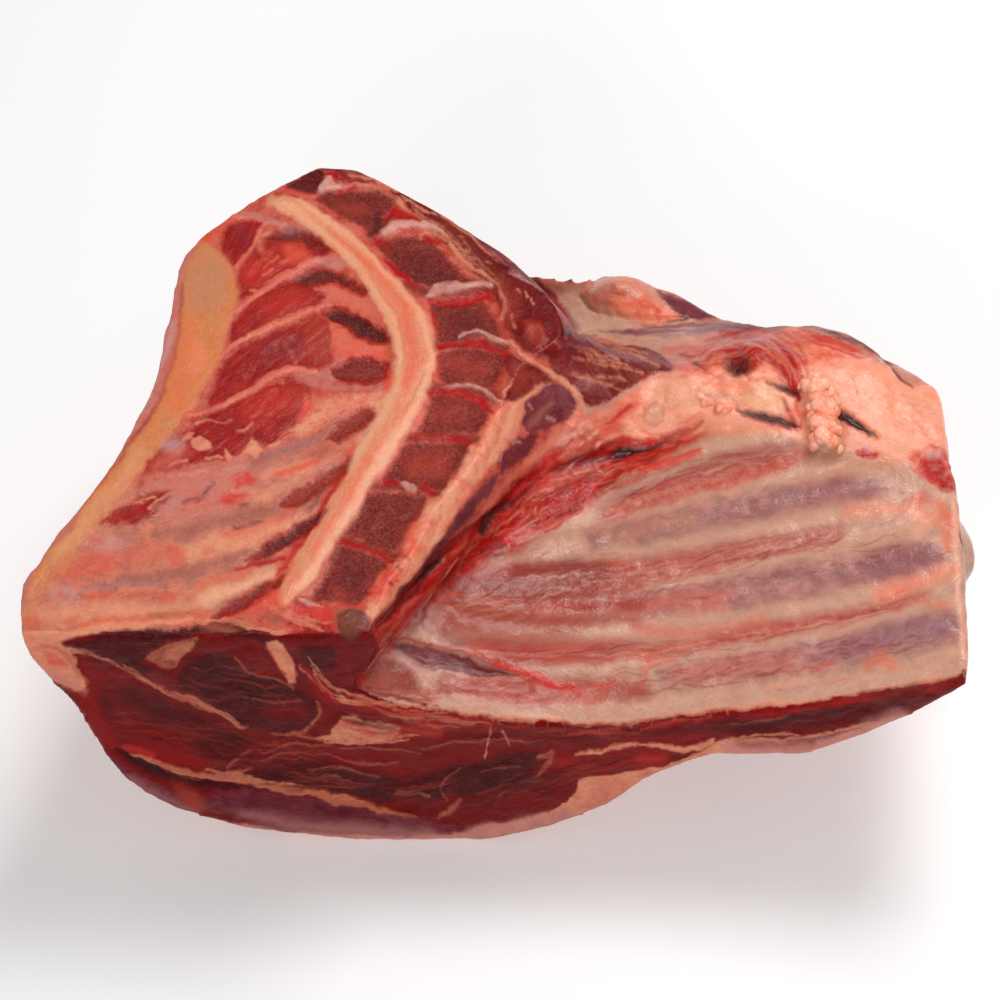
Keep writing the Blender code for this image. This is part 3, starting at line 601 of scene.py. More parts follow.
def paint_withers(face):
    """The muscles, fat and yellow ligament left of the backbone."""
    tint, glaze, ink, lift, follow = face.tint, face.glaze, face.ink, face.lift, face.follow
    tint("pinkish", 8, 1.0, [(180, 240), (300, 160), (430, 190), (580, 330), (560, 420), (400, 650),
                             (20, 660), (10, 600), (150, 400)], blots="rust")
    # Pale parts towards the ribs in soft bands, with painted grey shade along the bones.
    tint("pale", 12, 1.0, [(20, 650), (30, 590), (80, 530), (130, 490), (200, 470), (300, 440), (390, 392),
                           (396, 420), (340, 500), (290, 560), (240, 610), (120, 640)], blots="grey_film_and_shade")
    tint("lilac", 14, 0.75, [(160, 480), (210, 466), (268, 458), (262, 480), (222, 512), (180, 520),
                             (150, 505)], blots="salmon")
    tint("silver", 9, 0.6, [(88, 545), (110, 536), (132, 540), (120, 552), (96, 556)])
    tint("silver", 9, 0.55, [(52, 590), (70, 586), (76, 598), (60, 606)])
    tint("cream", 8, 0.95, [(180, 545), (220, 535), (262, 525), (306, 508), (300, 520), (262, 544),
                            (214, 556), (170, 560)])
    tint("ivory", 7, 0.9, [(196, 602), (210, 590), (236, 580), (262, 570), (296, 556), (288, 568),
                           (262, 582), (236, 596), (206, 610)])
    tint("cream", 8, 0.9, [(314, 408), (340, 397), (394, 392), (384, 410), (352, 412), (322, 424),
                           (296, 438), (290, 430)], blots="salmon")
    tint("cream", 6, 0.85, [(262, 474), (300, 462), (336, 450), (364, 438), (340, 458), (300, 472)])
    tint("cream", 6, 0.8, [(242, 500), (270, 486), (300, 474), (290, 486), (262, 500)])
    tint("cream", 9, 0.9, [(40, 612), (90, 604), (150, 606), (200, 604), (200, 614), (140, 616), (60, 622)])
    tint("orange", 4, 0.8, [(84, 626), (140, 620), (196, 618), (216, 618)], 8)
    tint("salmon", 12, 0.6, [(50, 566), (90, 552), (150, 540), (166, 556), (120, 570), (70, 582)])
    tint("pinkish", 8, 0.8, [(318, 440), (344, 444), (352, 456), (320, 462), (300, 458)],
         blots="marrow_pale")
    for colour, width, soft, strength, line in (
            # The first seven streaks, grey, bluish and tan, are painted shade along the bones.
            ("grey_film_and_shade", 9, 6, 0.8, [(252, 464), (276, 454), (300, 444), (326, 434), (346, 424)]),
            ("bluish", 5, 5, 0.5, [(262, 458), (282, 450), (304, 442)]),
            ("grey_film_and_shade", 12, 7, 0.8, [(160, 534), (200, 526), (240, 518), (276, 512), (310, 502)]),
            ("tan", 7, 6, 0.5, [(244, 512), (276, 504), (296, 494)]),
            ("grey_film_and_shade", 9, 6, 0.85, [(120, 580), (160, 576), (200, 569), (232, 560), (252, 552)]),
            ("bluish", 4, 5, 0.6, [(84, 588), (120, 585), (160, 583)]),
            ("grey_film_and_shade", 5, 6, 0.6, [(196, 614), (224, 604), (250, 592)]),
            ("lilac", 9, 5, 0.6, [(300, 374), (316, 376), (334, 378)]),
            ("lilac", 4, 4, 0.6, [(304, 384), (340, 388), (380, 386)]),
            ("coral", 6, 5, 0.45, [(46, 570), (74, 560), (112, 558)]),
            ("coral", 6, 4, 0.4, [(44, 582), (66, 572), (110, 568)]),
            ("coral", 8, 6, 0.5, [(226, 536), (250, 530), (276, 520), (292, 510)]),
            ("coral", 6, 5, 0.4, [(86, 600), (110, 596), (150, 594), (172, 598)]),
            ("orange", 7, 5, 0.7, [(200, 586), (220, 580), (246, 572)]),
            ("coral", 5, 3, 0.95, [(274, 474), (290, 469), (306, 464), (314, 463)]),
            ("coral", 9, 5, 0.8, [(356, 446), (344, 466), (332, 486)]),
            ("rose", 7, 5, 0.8, [(343, 470), (330, 496), (314, 522), (298, 544), (280, 566)]),
            ("rose_pale", 12, 6, 0.85, [(274, 596), (250, 608), (226, 618)]),
            ("rose_pale", 9, 5, 0.8, [(288, 560), (276, 580), (262, 596)]),
            ("pinkish", 5, 5, 0.8, [(318, 512), (290, 530), (262, 546)]),
            ("coral", 12, 5, 0.9, [(388, 372), (390, 388)]),
            ("amber", 12, 8, 0.7, [(24, 634), (28, 606), (46, 580), (70, 552)]),
            ("edge_pink", 14, 5, 0.9, [(196, 244), (182, 272), (174, 306), (170, 340), (162, 370),
                                       (148, 404), (124, 440), (94, 484), (62, 528), (34, 570), (22, 606)]),
            ("wine_light", 3, 2.5, 0.7, [(184, 284), (181, 320), (177, 345), (169, 374), (157, 405),
                                         (139, 432), (119, 458)]),
            ("rust", 2, 2.5, 0.6, [(119, 458), (98, 487), (72, 524), (52, 548)]),
            ("silver", 5, 3, 0.7, [(172, 320), (166, 345), (156, 375), (142, 405), (116, 444), (88, 484)]),
            ("coral", 9, 5, 0.7, [(196, 248), (206, 240), (226, 222), (240, 212)])):
        tint(colour, soft, strength, line, width)
    # Muscles with fibres, flushed and shaded over.
    follow([(90, 560), (200, 530), (330, 490)], 90)
    follow([(40, 600), (140, 590), (260, 560), (330, 510)], 50)
    follow([(180, 480), (280, 455), (390, 400)], 60)
    for angle, muscle in zip((32, 36, 40, 34, 60), MUSCLES):
        face.grain(angle, muscle)
        ink("meat", muscle, crisp=0.8)
        lift(0.25, 8, muscle)
    ink("meat", [(98, 524), (118, 509), (140, 498), (160, 492), (172, 491), (162, 503), (146, 520),
                 (128, 525)], crisp=0.6, cap=3)
    glaze("scarlet", 12, 0.6, [(244, 262), (290, 250), (306, 258), (280, 272), (250, 292)])
    glaze("coral", 7, 0.75, [(284, 246), (306, 250), (312, 258), (292, 262)])
    glaze("wine_light", 10, 0.6, [(228, 234), (250, 228), (252, 244), (236, 256)])
    glaze("violet", 6, 0.35, [(232, 228), (250, 230), (246, 246)])
    glaze("scarlet", 12, 0.5, [(262, 300), (300, 290), (312, 302), (270, 318)])
    glaze("wine_light", 12, 0.55, [(240, 366), (262, 350), (290, 344), (280, 360), (248, 384)])
    glaze("violet", 10, 0.35, [(262, 345), (300, 335), (310, 350), (270, 362)])
    glaze("rust", 8, 0.7, [(306, 320), (326, 320), (330, 350), (322, 366), (306, 350)])
    glaze("rust", 9, 0.6, [(290, 388), (306, 388), (310, 402), (300, 418), (288, 410)])
    glaze("coral", 5, 0.9, [(304, 396), (314, 402), (308, 416), (298, 424), (302, 408)])
    glaze("salmon", 8, 0.6, [(150, 472), (166, 452), (186, 444), (180, 462)])
    glaze("wine_light", 10, 0.45, [(206, 410), (240, 420), (236, 436), (210, 436)])
    glaze("scarlet", 10, 0.5, [(240, 404), (286, 386), (292, 404), (250, 424)])
    for line in ([(240, 398), (262, 388), (282, 382)], [(250, 418), (266, 404), (276, 390)],
                 [(262, 420), (280, 406), (292, 392)], [(262, 352), (282, 342), (296, 338)],
                 [(296, 360), (306, 350), (312, 344)], [(246, 376), (262, 362), (276, 352)],
                 [(284, 346), (292, 356), (296, 364)], [(248, 276), (258, 264), (270, 254)]):
        ink("fat", line, 1.2, 0.5, -0.6)
    for seam in SEAMS:
        thin = [(x, y, 0.6 * width) for x, y, width in seam]
        glaze("rose_pale", 3, 0.5, seam)
        ink("fat", thin, crisp=1.0)
        lift(0.4, 3, thin)
        face.ink_strands("fat", 1.0, 1.0, seam, 6, 9, 1.6, 61)
    # Films and torn edges of fat round the muscles.
    glaze("silver", 5, 0.35, [(314, 260), (324, 256), (338, 258), (346, 264), (336, 268), (322, 265)])
    glaze("bluish", 5, 0.25, [(280, 233), (292, 228), (304, 226), (314, 232), (300, 238)])
    glaze("lilac", 4, 0.8, [(232, 212), (250, 214), (272, 222), (292, 230)], 4)
    glaze("pale", 5, 0.7, [(262, 250), (258, 240), (270, 232)], 4)
    glaze("silver", 6, 0.6, [(160, 446), (172, 438), (184, 440), (176, 452)])
    ink("fat", [(190, 446), (194, 438), (202, 437), (209, 443), (211, 450), (203, 453), (196, 451)])
    ink("fat", [(244, 452), (249, 443), (254, 437), (258, 444), (263, 449), (256, 457)], crisp=0.9, cap=3)
    ink("fat", [(224, 448), (228, 452), (234, 455), (230, 460), (224, 457)])
    ink("fat", [(182, 440), (190, 432), (196, 432), (192, 440)], crisp=0.7, cap=2)
    for line in ([(196, 424), (206, 421), (222, 423), (232, 420)], [(236, 431), (244, 429), (252, 424)],
                 [(170, 464), (178, 460), (186, 462)], [(206, 460), (220, 458)], [(268, 446), (278, 442)],
                 [(136, 504), (146, 500), (154, 499)], [(150, 510), (160, 500), (172, 493)],
                 [(134, 502), (142, 505)], [(224, 470), (250, 462)], [(180, 476), (206, 470)],
                 [(262, 268), (268, 262), (276, 257)], [(262, 274), (272, 268)], [(280, 262), (288, 258)],
                 [(250, 290), (256, 290)], [(230, 491), (246, 488)], [(232, 494), (252, 492)]):
        ink("fat", line, 2.2)
        lift(0.3, 2, line, 2)
    # Patches of bare red and small marks in the pale part.
    ink("rose", [(229, 480), (235, 474), (248, 470), (257, 476), (256, 484), (244, 486), (236, 490)])
    ink("rose", [(216, 503), (222, 495), (238, 492), (252, 495), (244, 502), (232, 508), (222, 507)])
    ink("rose", [(165, 547), (176, 545), (187, 548), (184, 558), (182, 566), (172, 566), (167, 557)],
        crisp=0.7, cap=1)
    ink("fat", [(168, 552), (184, 552)], 1.2)
    ink("fat", [(169, 559), (182, 560)], 1.2)
    for line, width in (([(28, 620), (32, 628)], 6), ([(36, 619), (37, 627)], 4),
                        ([(66, 623), (76, 617)], 5), ([(88, 600), (96, 594)], 3),
                        ([(104, 598), (110, 593)], 3), ([(162, 598), (174, 596)], 6),
                        ([(60, 594), (63, 596)], 5), ([(92, 542), (98, 543)], 4),
                        ([(204, 554), (212, 552)], 2.4), ([(316, 396), (330, 392)], 3)):
        ink("rose", line, width, 0.6, 0.5)
    for line in ([(148, 520), (158, 508), (168, 499)], [(196, 500), (206, 492), (214, 484)],
                 [(182, 502), (200, 497)], [(306, 509), (316, 501), (323, 492)], [(242, 506), (252, 500)],
                 [(252, 454), (260, 454)], [(232, 528), (262, 522)]):
        ink("plum", line, 1.4, 0.7, 0.5)
    # The ligament, amber with an orange blush.
    tint("orange", 12, 0.7, [(190, 330), (196, 350), (186, 400), (170, 392)])
    ink("gold", LIGAMENT)
    follow([(200, 246), (212, 290), (204, 340), (180, 395), (130, 465), (60, 550), (30, 600)], 50)
    glaze("orange", 14, 0.6, [(182, 316), (196, 330), (198, 372), (180, 410), (166, 404), (180, 350)])
    glaze("olive", 12, 0.5, [(200, 250), (226, 266), (224, 310), (200, 310), (188, 290)])
    glaze("peach", 9, 0.5, [(196, 340), (206, 352), (200, 372), (186, 372)])
    glaze("ivory", 8, 0.35, [(140, 455), (120, 480), (90, 515), (60, 548)], 12)
    lift(0.3, 6, LIGAMENT)


def paint_backbone(face):
    """The sawn bones, the joints between them and the cord in its canal."""
    tint, glaze, ink, lift, follow = face.tint, face.glaze, face.ink, face.lift, face.follow
    # What lies round the bones: pink flesh and fat, and the muscle beyond them.
    tint("salmon", 8, 0.9, [(300, 285), (330, 280), (372, 298), (386, 316), (360, 312), (330, 300)],
         blots="pinkish")
    tint("salmon", 8, 0.9, [(328, 326), (352, 334), (388, 350), (386, 360), (340, 360), (330, 345)],
         blots="coral")
    tint("rose_pale", 8, 0.8, [(424, 300), (436, 330), (440, 360), (436, 390), (420, 420), (396, 462),
                               (366, 500), (340, 540)], 10, "salmon")
    tint("rust", 8, 0.9, [(500, 300), (512, 320), (510, 350), (506, 380), (500, 402), (488, 396),
                          (500, 350)])
    tint("salmon", 4, 0.8, [(300, 180), (316, 196), (336, 210), (366, 234), (380, 246)], 8, "rose")
    tint("pinkish", 6, 0.8, [(376, 186), (400, 200), (440, 226), (470, 258), (498, 284)], 16, "rust")
    for body in BODIES:
        ink("marrow", body, crisp=0.7)
        lift(-0.4, 3, body)
    for joint in JOINTS:
        ink("marrow", joint, 9, 0.5, 1.0)
        glaze("blood_dark", 4, 0.4, joint, 5)
    for slit, depth in zip(SLITS, (0.6, 0.9, 1.4, 0.9, 0.6, 0.7, 1.0, 0.6)):
        ink("marrow", slit, crisp=0.9)
        lift(-depth, 4, slit)
        face.ink_strands("blood", 0.9, 1.5, slit + slit[:1], 3, 9, 2.4, 62)
    ink("black", [(332, 316, 4), (350, 319, 10), (368, 328, 12), (384, 338, 7)], crisp=0.7, cap=0.6)
    ink("black", [(304, 278, 2), (324, 274, 5), (344, 280, 3)], crisp=0.5, cap=-0.2)
    ink("black", [(262, 552, 2), (282, 541, 4), (300, 528, 4), (320, 515, 2)], crisp=0.5, cap=0.2)
    ink("dark", [(268, 238, 3), (292, 235, 6), (316, 242, 7), (328, 249, 4)], crisp=0.6)
    glaze("rust", 8, 0.5, [(330, 436), (356, 420), (366, 414)], 8)
    glaze("rust", 8, 0.55, [(292, 500), (316, 484), (340, 472)], 8)
    glaze("wine_light", 8, 0.5, [(220, 612), (246, 598), (270, 584)], 7)
    for body, strength in zip(BODIES, (0.35, 0.5, 0.55, 0.1, 0.15, 0.0, 0.2, 0.5)):
        glaze("dark", 12, strength, [tuple(0.5 * np.add(p, np.mean(body, axis=0))) for p in body])
    glaze("rust", 8, 0.55, [(336, 204), (360, 204), (372, 212), (350, 214)])
    glaze("rust", 9, 0.5, [(446, 356), (484, 362), (482, 376), (450, 374)])
    glaze("rust", 10, 0.6, [(412, 452), (446, 452), (444, 474), (406, 474)])
    glaze("rust", 9, 0.4, [(436, 404), (470, 402), (466, 420), (436, 424)])
    glaze("rust", 8, 0.45, [(330, 588), (352, 592), (344, 602)])
    ink("black", [(374, 210, 3), (380, 224, 6), (372, 236, 4)], crisp=0.5, cap=0.8)
    ink("black", [(404, 268, 4), (424, 276, 6), (452, 280, 5)], crisp=0.4, cap=-0.4)
    # Joints: pale plates, and blood in the saw's track.
    for plate in ([(428, 296, 5), (438, 289, 12), (456, 287, 11), (470, 284, 6), (490, 285, 5)],
                  [(384, 232, 6), (396, 226, 9), (412, 222, 8), (430, 227, 5), (440, 232, 3)],
                  [(322, 190, 8), (330, 184, 13), (338, 186, 8)],
                  [(460, 335, 3), (476, 332, 4), (500, 340, 5), (508, 344, 2)],
                  [(442, 391, 3), (456, 386, 5), (474, 386, 4), (492, 396, 4), (502, 402, 2)],
                  [(398, 481, 4), (406, 486, 8), (414, 490, 6)],
                  [(300, 601, 3), (310, 603, 5), (319, 606, 3)], [(420, 435, 2), (446, 438, 3)]):
        ink("gristle_and_glint", plate, crisp=1.2)
        glaze("cover", 3, 0.35, plate)
        lift(0.9, 3, plate)
    for mark in ([(428, 300, 3), (446, 303, 6), (466, 300, 7), (486, 294, 6), (494, 299, 3)],
                 [(386, 218, 4), (396, 212, 8), (412, 214, 6), (420, 219, 3)],
                 [(326, 175, 4), (334, 175, 7), (338, 184, 4)], [(340, 192, 2), (352, 188, 3)],
                 [(386, 260, 3), (398, 270, 7), (408, 280, 6), (414, 286, 3)],
                 [(376, 240, 3), (388, 244, 3)], [(424, 238, 5), (436, 242, 4)],
                 [(438, 346, 4), (458, 343, 6), (482, 345, 6), (506, 354, 4)],
                 [(430, 394, 5), (448, 392, 5), (466, 393, 6), (484, 402, 6), (494, 412, 3)],
                 [(412, 434, 4), (432, 436, 5), (452, 440, 5), (470, 444, 4)],
                 [(386, 480, 6), (396, 481, 5)], [(420, 486, 4), (430, 494, 6)],
                 [(336, 540, 3), (352, 545, 4), (372, 550, 4), (392, 562, 3)],
                 [(432, 312, 2), (436, 330, 3)], [(236, 567, 2), (262, 562, 4), (282, 559, 3)]):
        ink("blood", mark, crisp=1.1, cap=8.0)
        glaze("crimson", 2.5, 0.75, mark)
        lift(-0.5, 3, mark)
        face.ink_strands("fat", 1.0, 0.8, [point[:2] for point in mark], 5, 3, 1.2, 63)
    # The cord: cream along its edges, orange inside, with a fine groove.
    line = [point[:2] for point in CORD_LINE]
    ink("cord", CORD_LINE)
    follow(line, 50)
    lift(1.3, 12, CORD_LINE)
    glaze("ivory", 5, 0.7, [(272, 202, 8), (290, 212, 12), (316, 230, 8), (340, 248, 6), (358, 270, 5),
                            (376, 296, 5), (392, 322, 6), (399, 350, 8), (398, 384, 10), (384, 412, 10),
                            (366, 444, 8), (352, 470, 7)])
    glaze("ivory", 4, 0.65, [(300, 204, 5), (330, 224, 8), (354, 242, 8), (376, 264, 6), (400, 290, 6),
                             (424, 322, 8), (432, 350, 8), (428, 376, 6), (414, 410, 8), (390, 450, 12),
                             (366, 484, 10), (340, 528, 10), (312, 570, 10), (298, 588, 8)])
    glaze("coral", 7, 0.55, [(330, 232, 4), (352, 250, 5), (380, 280, 8), (402, 308, 12), (412, 340, 14),
                             (414, 362, 12), (408, 390, 6)])
    glaze("coral", 6, 0.5, [(372, 462, 8), (352, 496, 8), (332, 528, 6), (314, 560, 6)])
    for groove in ([(308, 213), (330, 236), (352, 254), (366, 272), (382, 298), (396, 320), (402, 346),
                    (401, 366)], [(424, 372), (416, 392), (404, 412)]):
        lift(-0.6, 2.2, groove, 1.6)
        ink("seam", groove, 1.0, 0.8, 0.5)
    for edge in ([(353, 236), (378, 259), (402, 287), (420, 314), (434, 340), (440, 362), (437, 380)],
                 [(426, 394), (404, 438), (384, 470)]):
        ink("rose", edge, 2.0, 0.7, 0.6)
    ink("blood", [(354, 458, 1), (344, 476, 3), (336, 490, 5), (322, 508, 3), (306, 534, 3), (290, 558, 4),
                  (276, 576, 2)], crisp=0.7, cap=1.0)
    glaze("coral", 6, 0.8, [(270, 590), (262, 600), (268, 608), (282, 604)])
    # Muscle and fat beyond the bones, up to the neck's edge.
    ink("dark", [(284, 187), (300, 178), (318, 168), (326, 172), (322, 184), (314, 194), (298, 195)],
        crisp=0.8)
    glaze("rose_pale", 4, 0.8, [(283, 187), (296, 194), (312, 198)], 5)
    ink("brick", [(318, 168), (352, 169), (380, 179), (362, 184), (346, 182), (336, 174)], crisp=0.6,
        cap=1.0)
    rim = [(392, 184), (430, 206), (470, 236), (510, 270), (548, 298), (562, 330), (548, 352), (524, 348),
           (506, 322), (494, 292), (466, 264), (442, 242), (412, 214), (388, 190)]
    tint("rust", 5, 1.0, rim, blots="brick")
    ink("brick", rim, crisp=0.8)
    glaze("tan", 7, 0.3, [(440, 226), (470, 250), (500, 280)], 10)
    glaze("wine", 8, 0.5, [(452, 232), (476, 252), (506, 286)], 8)
    for seam in ([(352, 182, 2), (376, 190, 3), (400, 204, 4), (424, 220, 4), (444, 234, 4), (458, 256, 4),
                  (478, 270, 4), (496, 282, 4)], [(350, 174, 2), (372, 180, 2), (396, 192, 2)],
                  [(430, 204, 1), (462, 230, 2), (494, 256, 1)],
                  [(496, 282, 4), (504, 298, 4), (502, 318, 2)],
                  [(400, 196, 1), (420, 206, 2), (436, 214, 1)]):
        ink("fat", seam, crisp=0.9)
        lift(0.3, 3, seam)
    face.ink_strands("fat", 1.0, 0.8, [(352, 180), (400, 202), (450, 238), (500, 288)], 9, 26, 1.5, 64)
    skin_edge = [(330, 168), (372, 172), (410, 188), (450, 214), (492, 248), (530, 278), (556, 300)]
    glaze("violet", 3, 0.6, skin_edge, 5)
    face.ink_strands("plum", 1.1, 4.0, skin_edge, 5, 34, 2.6, 71)
    face.ink_strands("black", 1.1, 0.8, skin_edge, 4, 16, 1.8, 72)
    face.ink_strands("blood", 1.0, 3.0, [(536, 286), (552, 300), (564, 318), (574, 336)], 5, 14, 3.2, 73)
    face.ink_strands("gristle_and_glint", 1.0, 0.3, skin_edge, 3, 16, 1.5, 65)
    for x, y in ((456, 244), (466, 250), (472, 256), (458, 236), (488, 262), (378, 196), (436, 246),
                 (432, 228), (424, 232), (356, 184), (370, 176)):
        ink("fat", [(x, y), (x + 4, y + 2)], 1.8)
    # Fat along the throat side of the bones.
    strip = [(500, 408), (512, 400), (528, 398), (522, 418), (508, 440), (500, 456), (490, 470), (474, 486),
             (462, 504), (452, 520), (440, 538), (428, 556), (418, 572), (404, 590), (390, 604), (374, 620),
             (366, 614), (372, 598), (388, 580), (396, 562), (404, 546), (414, 528), (426, 510), (440, 494),
             (448, 480), (458, 466), (468, 452), (478, 436), (488, 420)]
    tint("cream", 4, 1.0, strip, blots="salmon")
    follow([(520, 400), (490, 450), (440, 525), (372, 618)], 40)
    lift(0.8, 9, strip)
    tint("ivory", 6, 0.7, [(516, 408), (498, 446), (478, 470), (452, 500), (424, 545)], 8)
    tint("coral", 4, 0.8, [(500, 408), (484, 434), (474, 444)], 4)
    ink("rose", [(454, 474, 2), (464, 481, 4), (472, 489, 1)], crisp=0.6, cap=0.6)
    tint("coral", 6, 0.85, [(416, 524), (410, 540), (414, 548), (404, 556)], 9)
    tint("coral", 7, 0.85, [(404, 572), (392, 590), (374, 600), (378, 584), (392, 568)], blots="rose")
    for x, y in ((398, 568), (404, 558), (390, 584), (396, 580)):
        ink("plum", [(x, y), (x + 2, y + 1)], 2.0)
    # The rear edge: cream and orange above, dark muscle that reaches over it.
    ink("dark", [(62, 643), (84, 636), (120, 631), (150, 628), (172, 630), (206, 624), (240, 622),
                 (252, 634), (250, 660), (60, 660)], crisp=1.0)
    tint("cream", 3, 0.9, [(22, 640, 8), (46, 640, 8), (76, 633, 6), (110, 626, 5), (150, 622, 4),
                           (190, 619, 3)])
    ink("fat", [(20, 641, 8), (46, 641, 8), (76, 635, 5), (110, 628, 3), (150, 624, 2), (190, 620, 1)],
        crisp=1.0, cap=3)
    tint("tan", 4, 0.8, [(150, 616), (190, 612), (226, 612), (250, 618)], 6, "orange")
    glaze("tan", 5, 0.7, [(206, 626), (226, 632), (246, 640)], 9)
    face.ink_strands("fat", 1.0, 1.0, [(196, 622), (226, 622), (256, 628), (290, 636)], 7, 14, 1.8, 66)
    face.ink_strands("rose", 1.0, 2.0, [(256, 606), (290, 612), (330, 614), (336, 640)], 9, 16, 3.0, 67)
    face.ink_strands("fat", 1.0, 1.0, [(262, 604), (296, 616), (332, 628)], 12, 14, 1.5, 68)
    # The corner where the two cuts meet: a bone's round end, torn gristle and red.
    tint("rose", 6, 0.85, [(292, 604), (330, 606), (336, 640), (300, 640), (286, 620)], blots="wine_light")
    tint("tan", 4, 0.8, [(266, 608), (284, 604), (290, 614), (284, 624), (268, 620)])
    bone = [(336, 614), (350, 607), (364, 611), (371, 622), (362, 634), (346, 641), (338, 632)]
    tint("bone_grey", 3, 0.95, bone)
    ink("seam", bone + bone[:1], 2.4)
    lift(0.8, 6, bone)
    ink("gristle_and_glint", [(322, 640), (334, 641), (346, 642), (360, 638)], 1.8)
    ink("rose", [(330, 612), (344, 605), (366, 608)], 4)


# ---------------------------------------------------------------- throat, ridge and ribs

RIBS = [
    [(598, 540, 20), (650, 530, 24), (700, 519, 28), (760, 507, 28), (820, 494, 26), (856, 489, 24),
     (878, 490, 14)],
    [(600, 606, 22), (660, 602, 26), (720, 594, 30), (790, 583, 34), (850, 573, 34), (905, 563, 38),
     (932, 557, 26)],
    [(672, 676, 24), (730, 668, 28), (800, 658, 30), (860, 646, 32), (915, 636, 36), (946, 628, 34)],]
STRIPES = [
    [(598, 518), (630, 494), (671, 474), (715, 458), (760, 448), (794, 446), (810, 453), (780, 468),
     (735, 484), (690, 497), (650, 508), (620, 518)],
    [(470, 576), (520, 566), (560, 568), (614, 560), (660, 555), (700, 547), (751, 540), (800, 532),
     (843, 528), (842, 537), (799, 550), (741, 563), (684, 576), (639, 586), (600, 592), (540, 597),
     (480, 594)],
    [(470, 644), (540, 641), (640, 643), (700, 637), (760, 625), (820, 613), (870, 604), (930, 592),
     (900, 606), (850, 621), (800, 633), (751, 642), (700, 650), (640, 658), (560, 664), (500, 662)],]


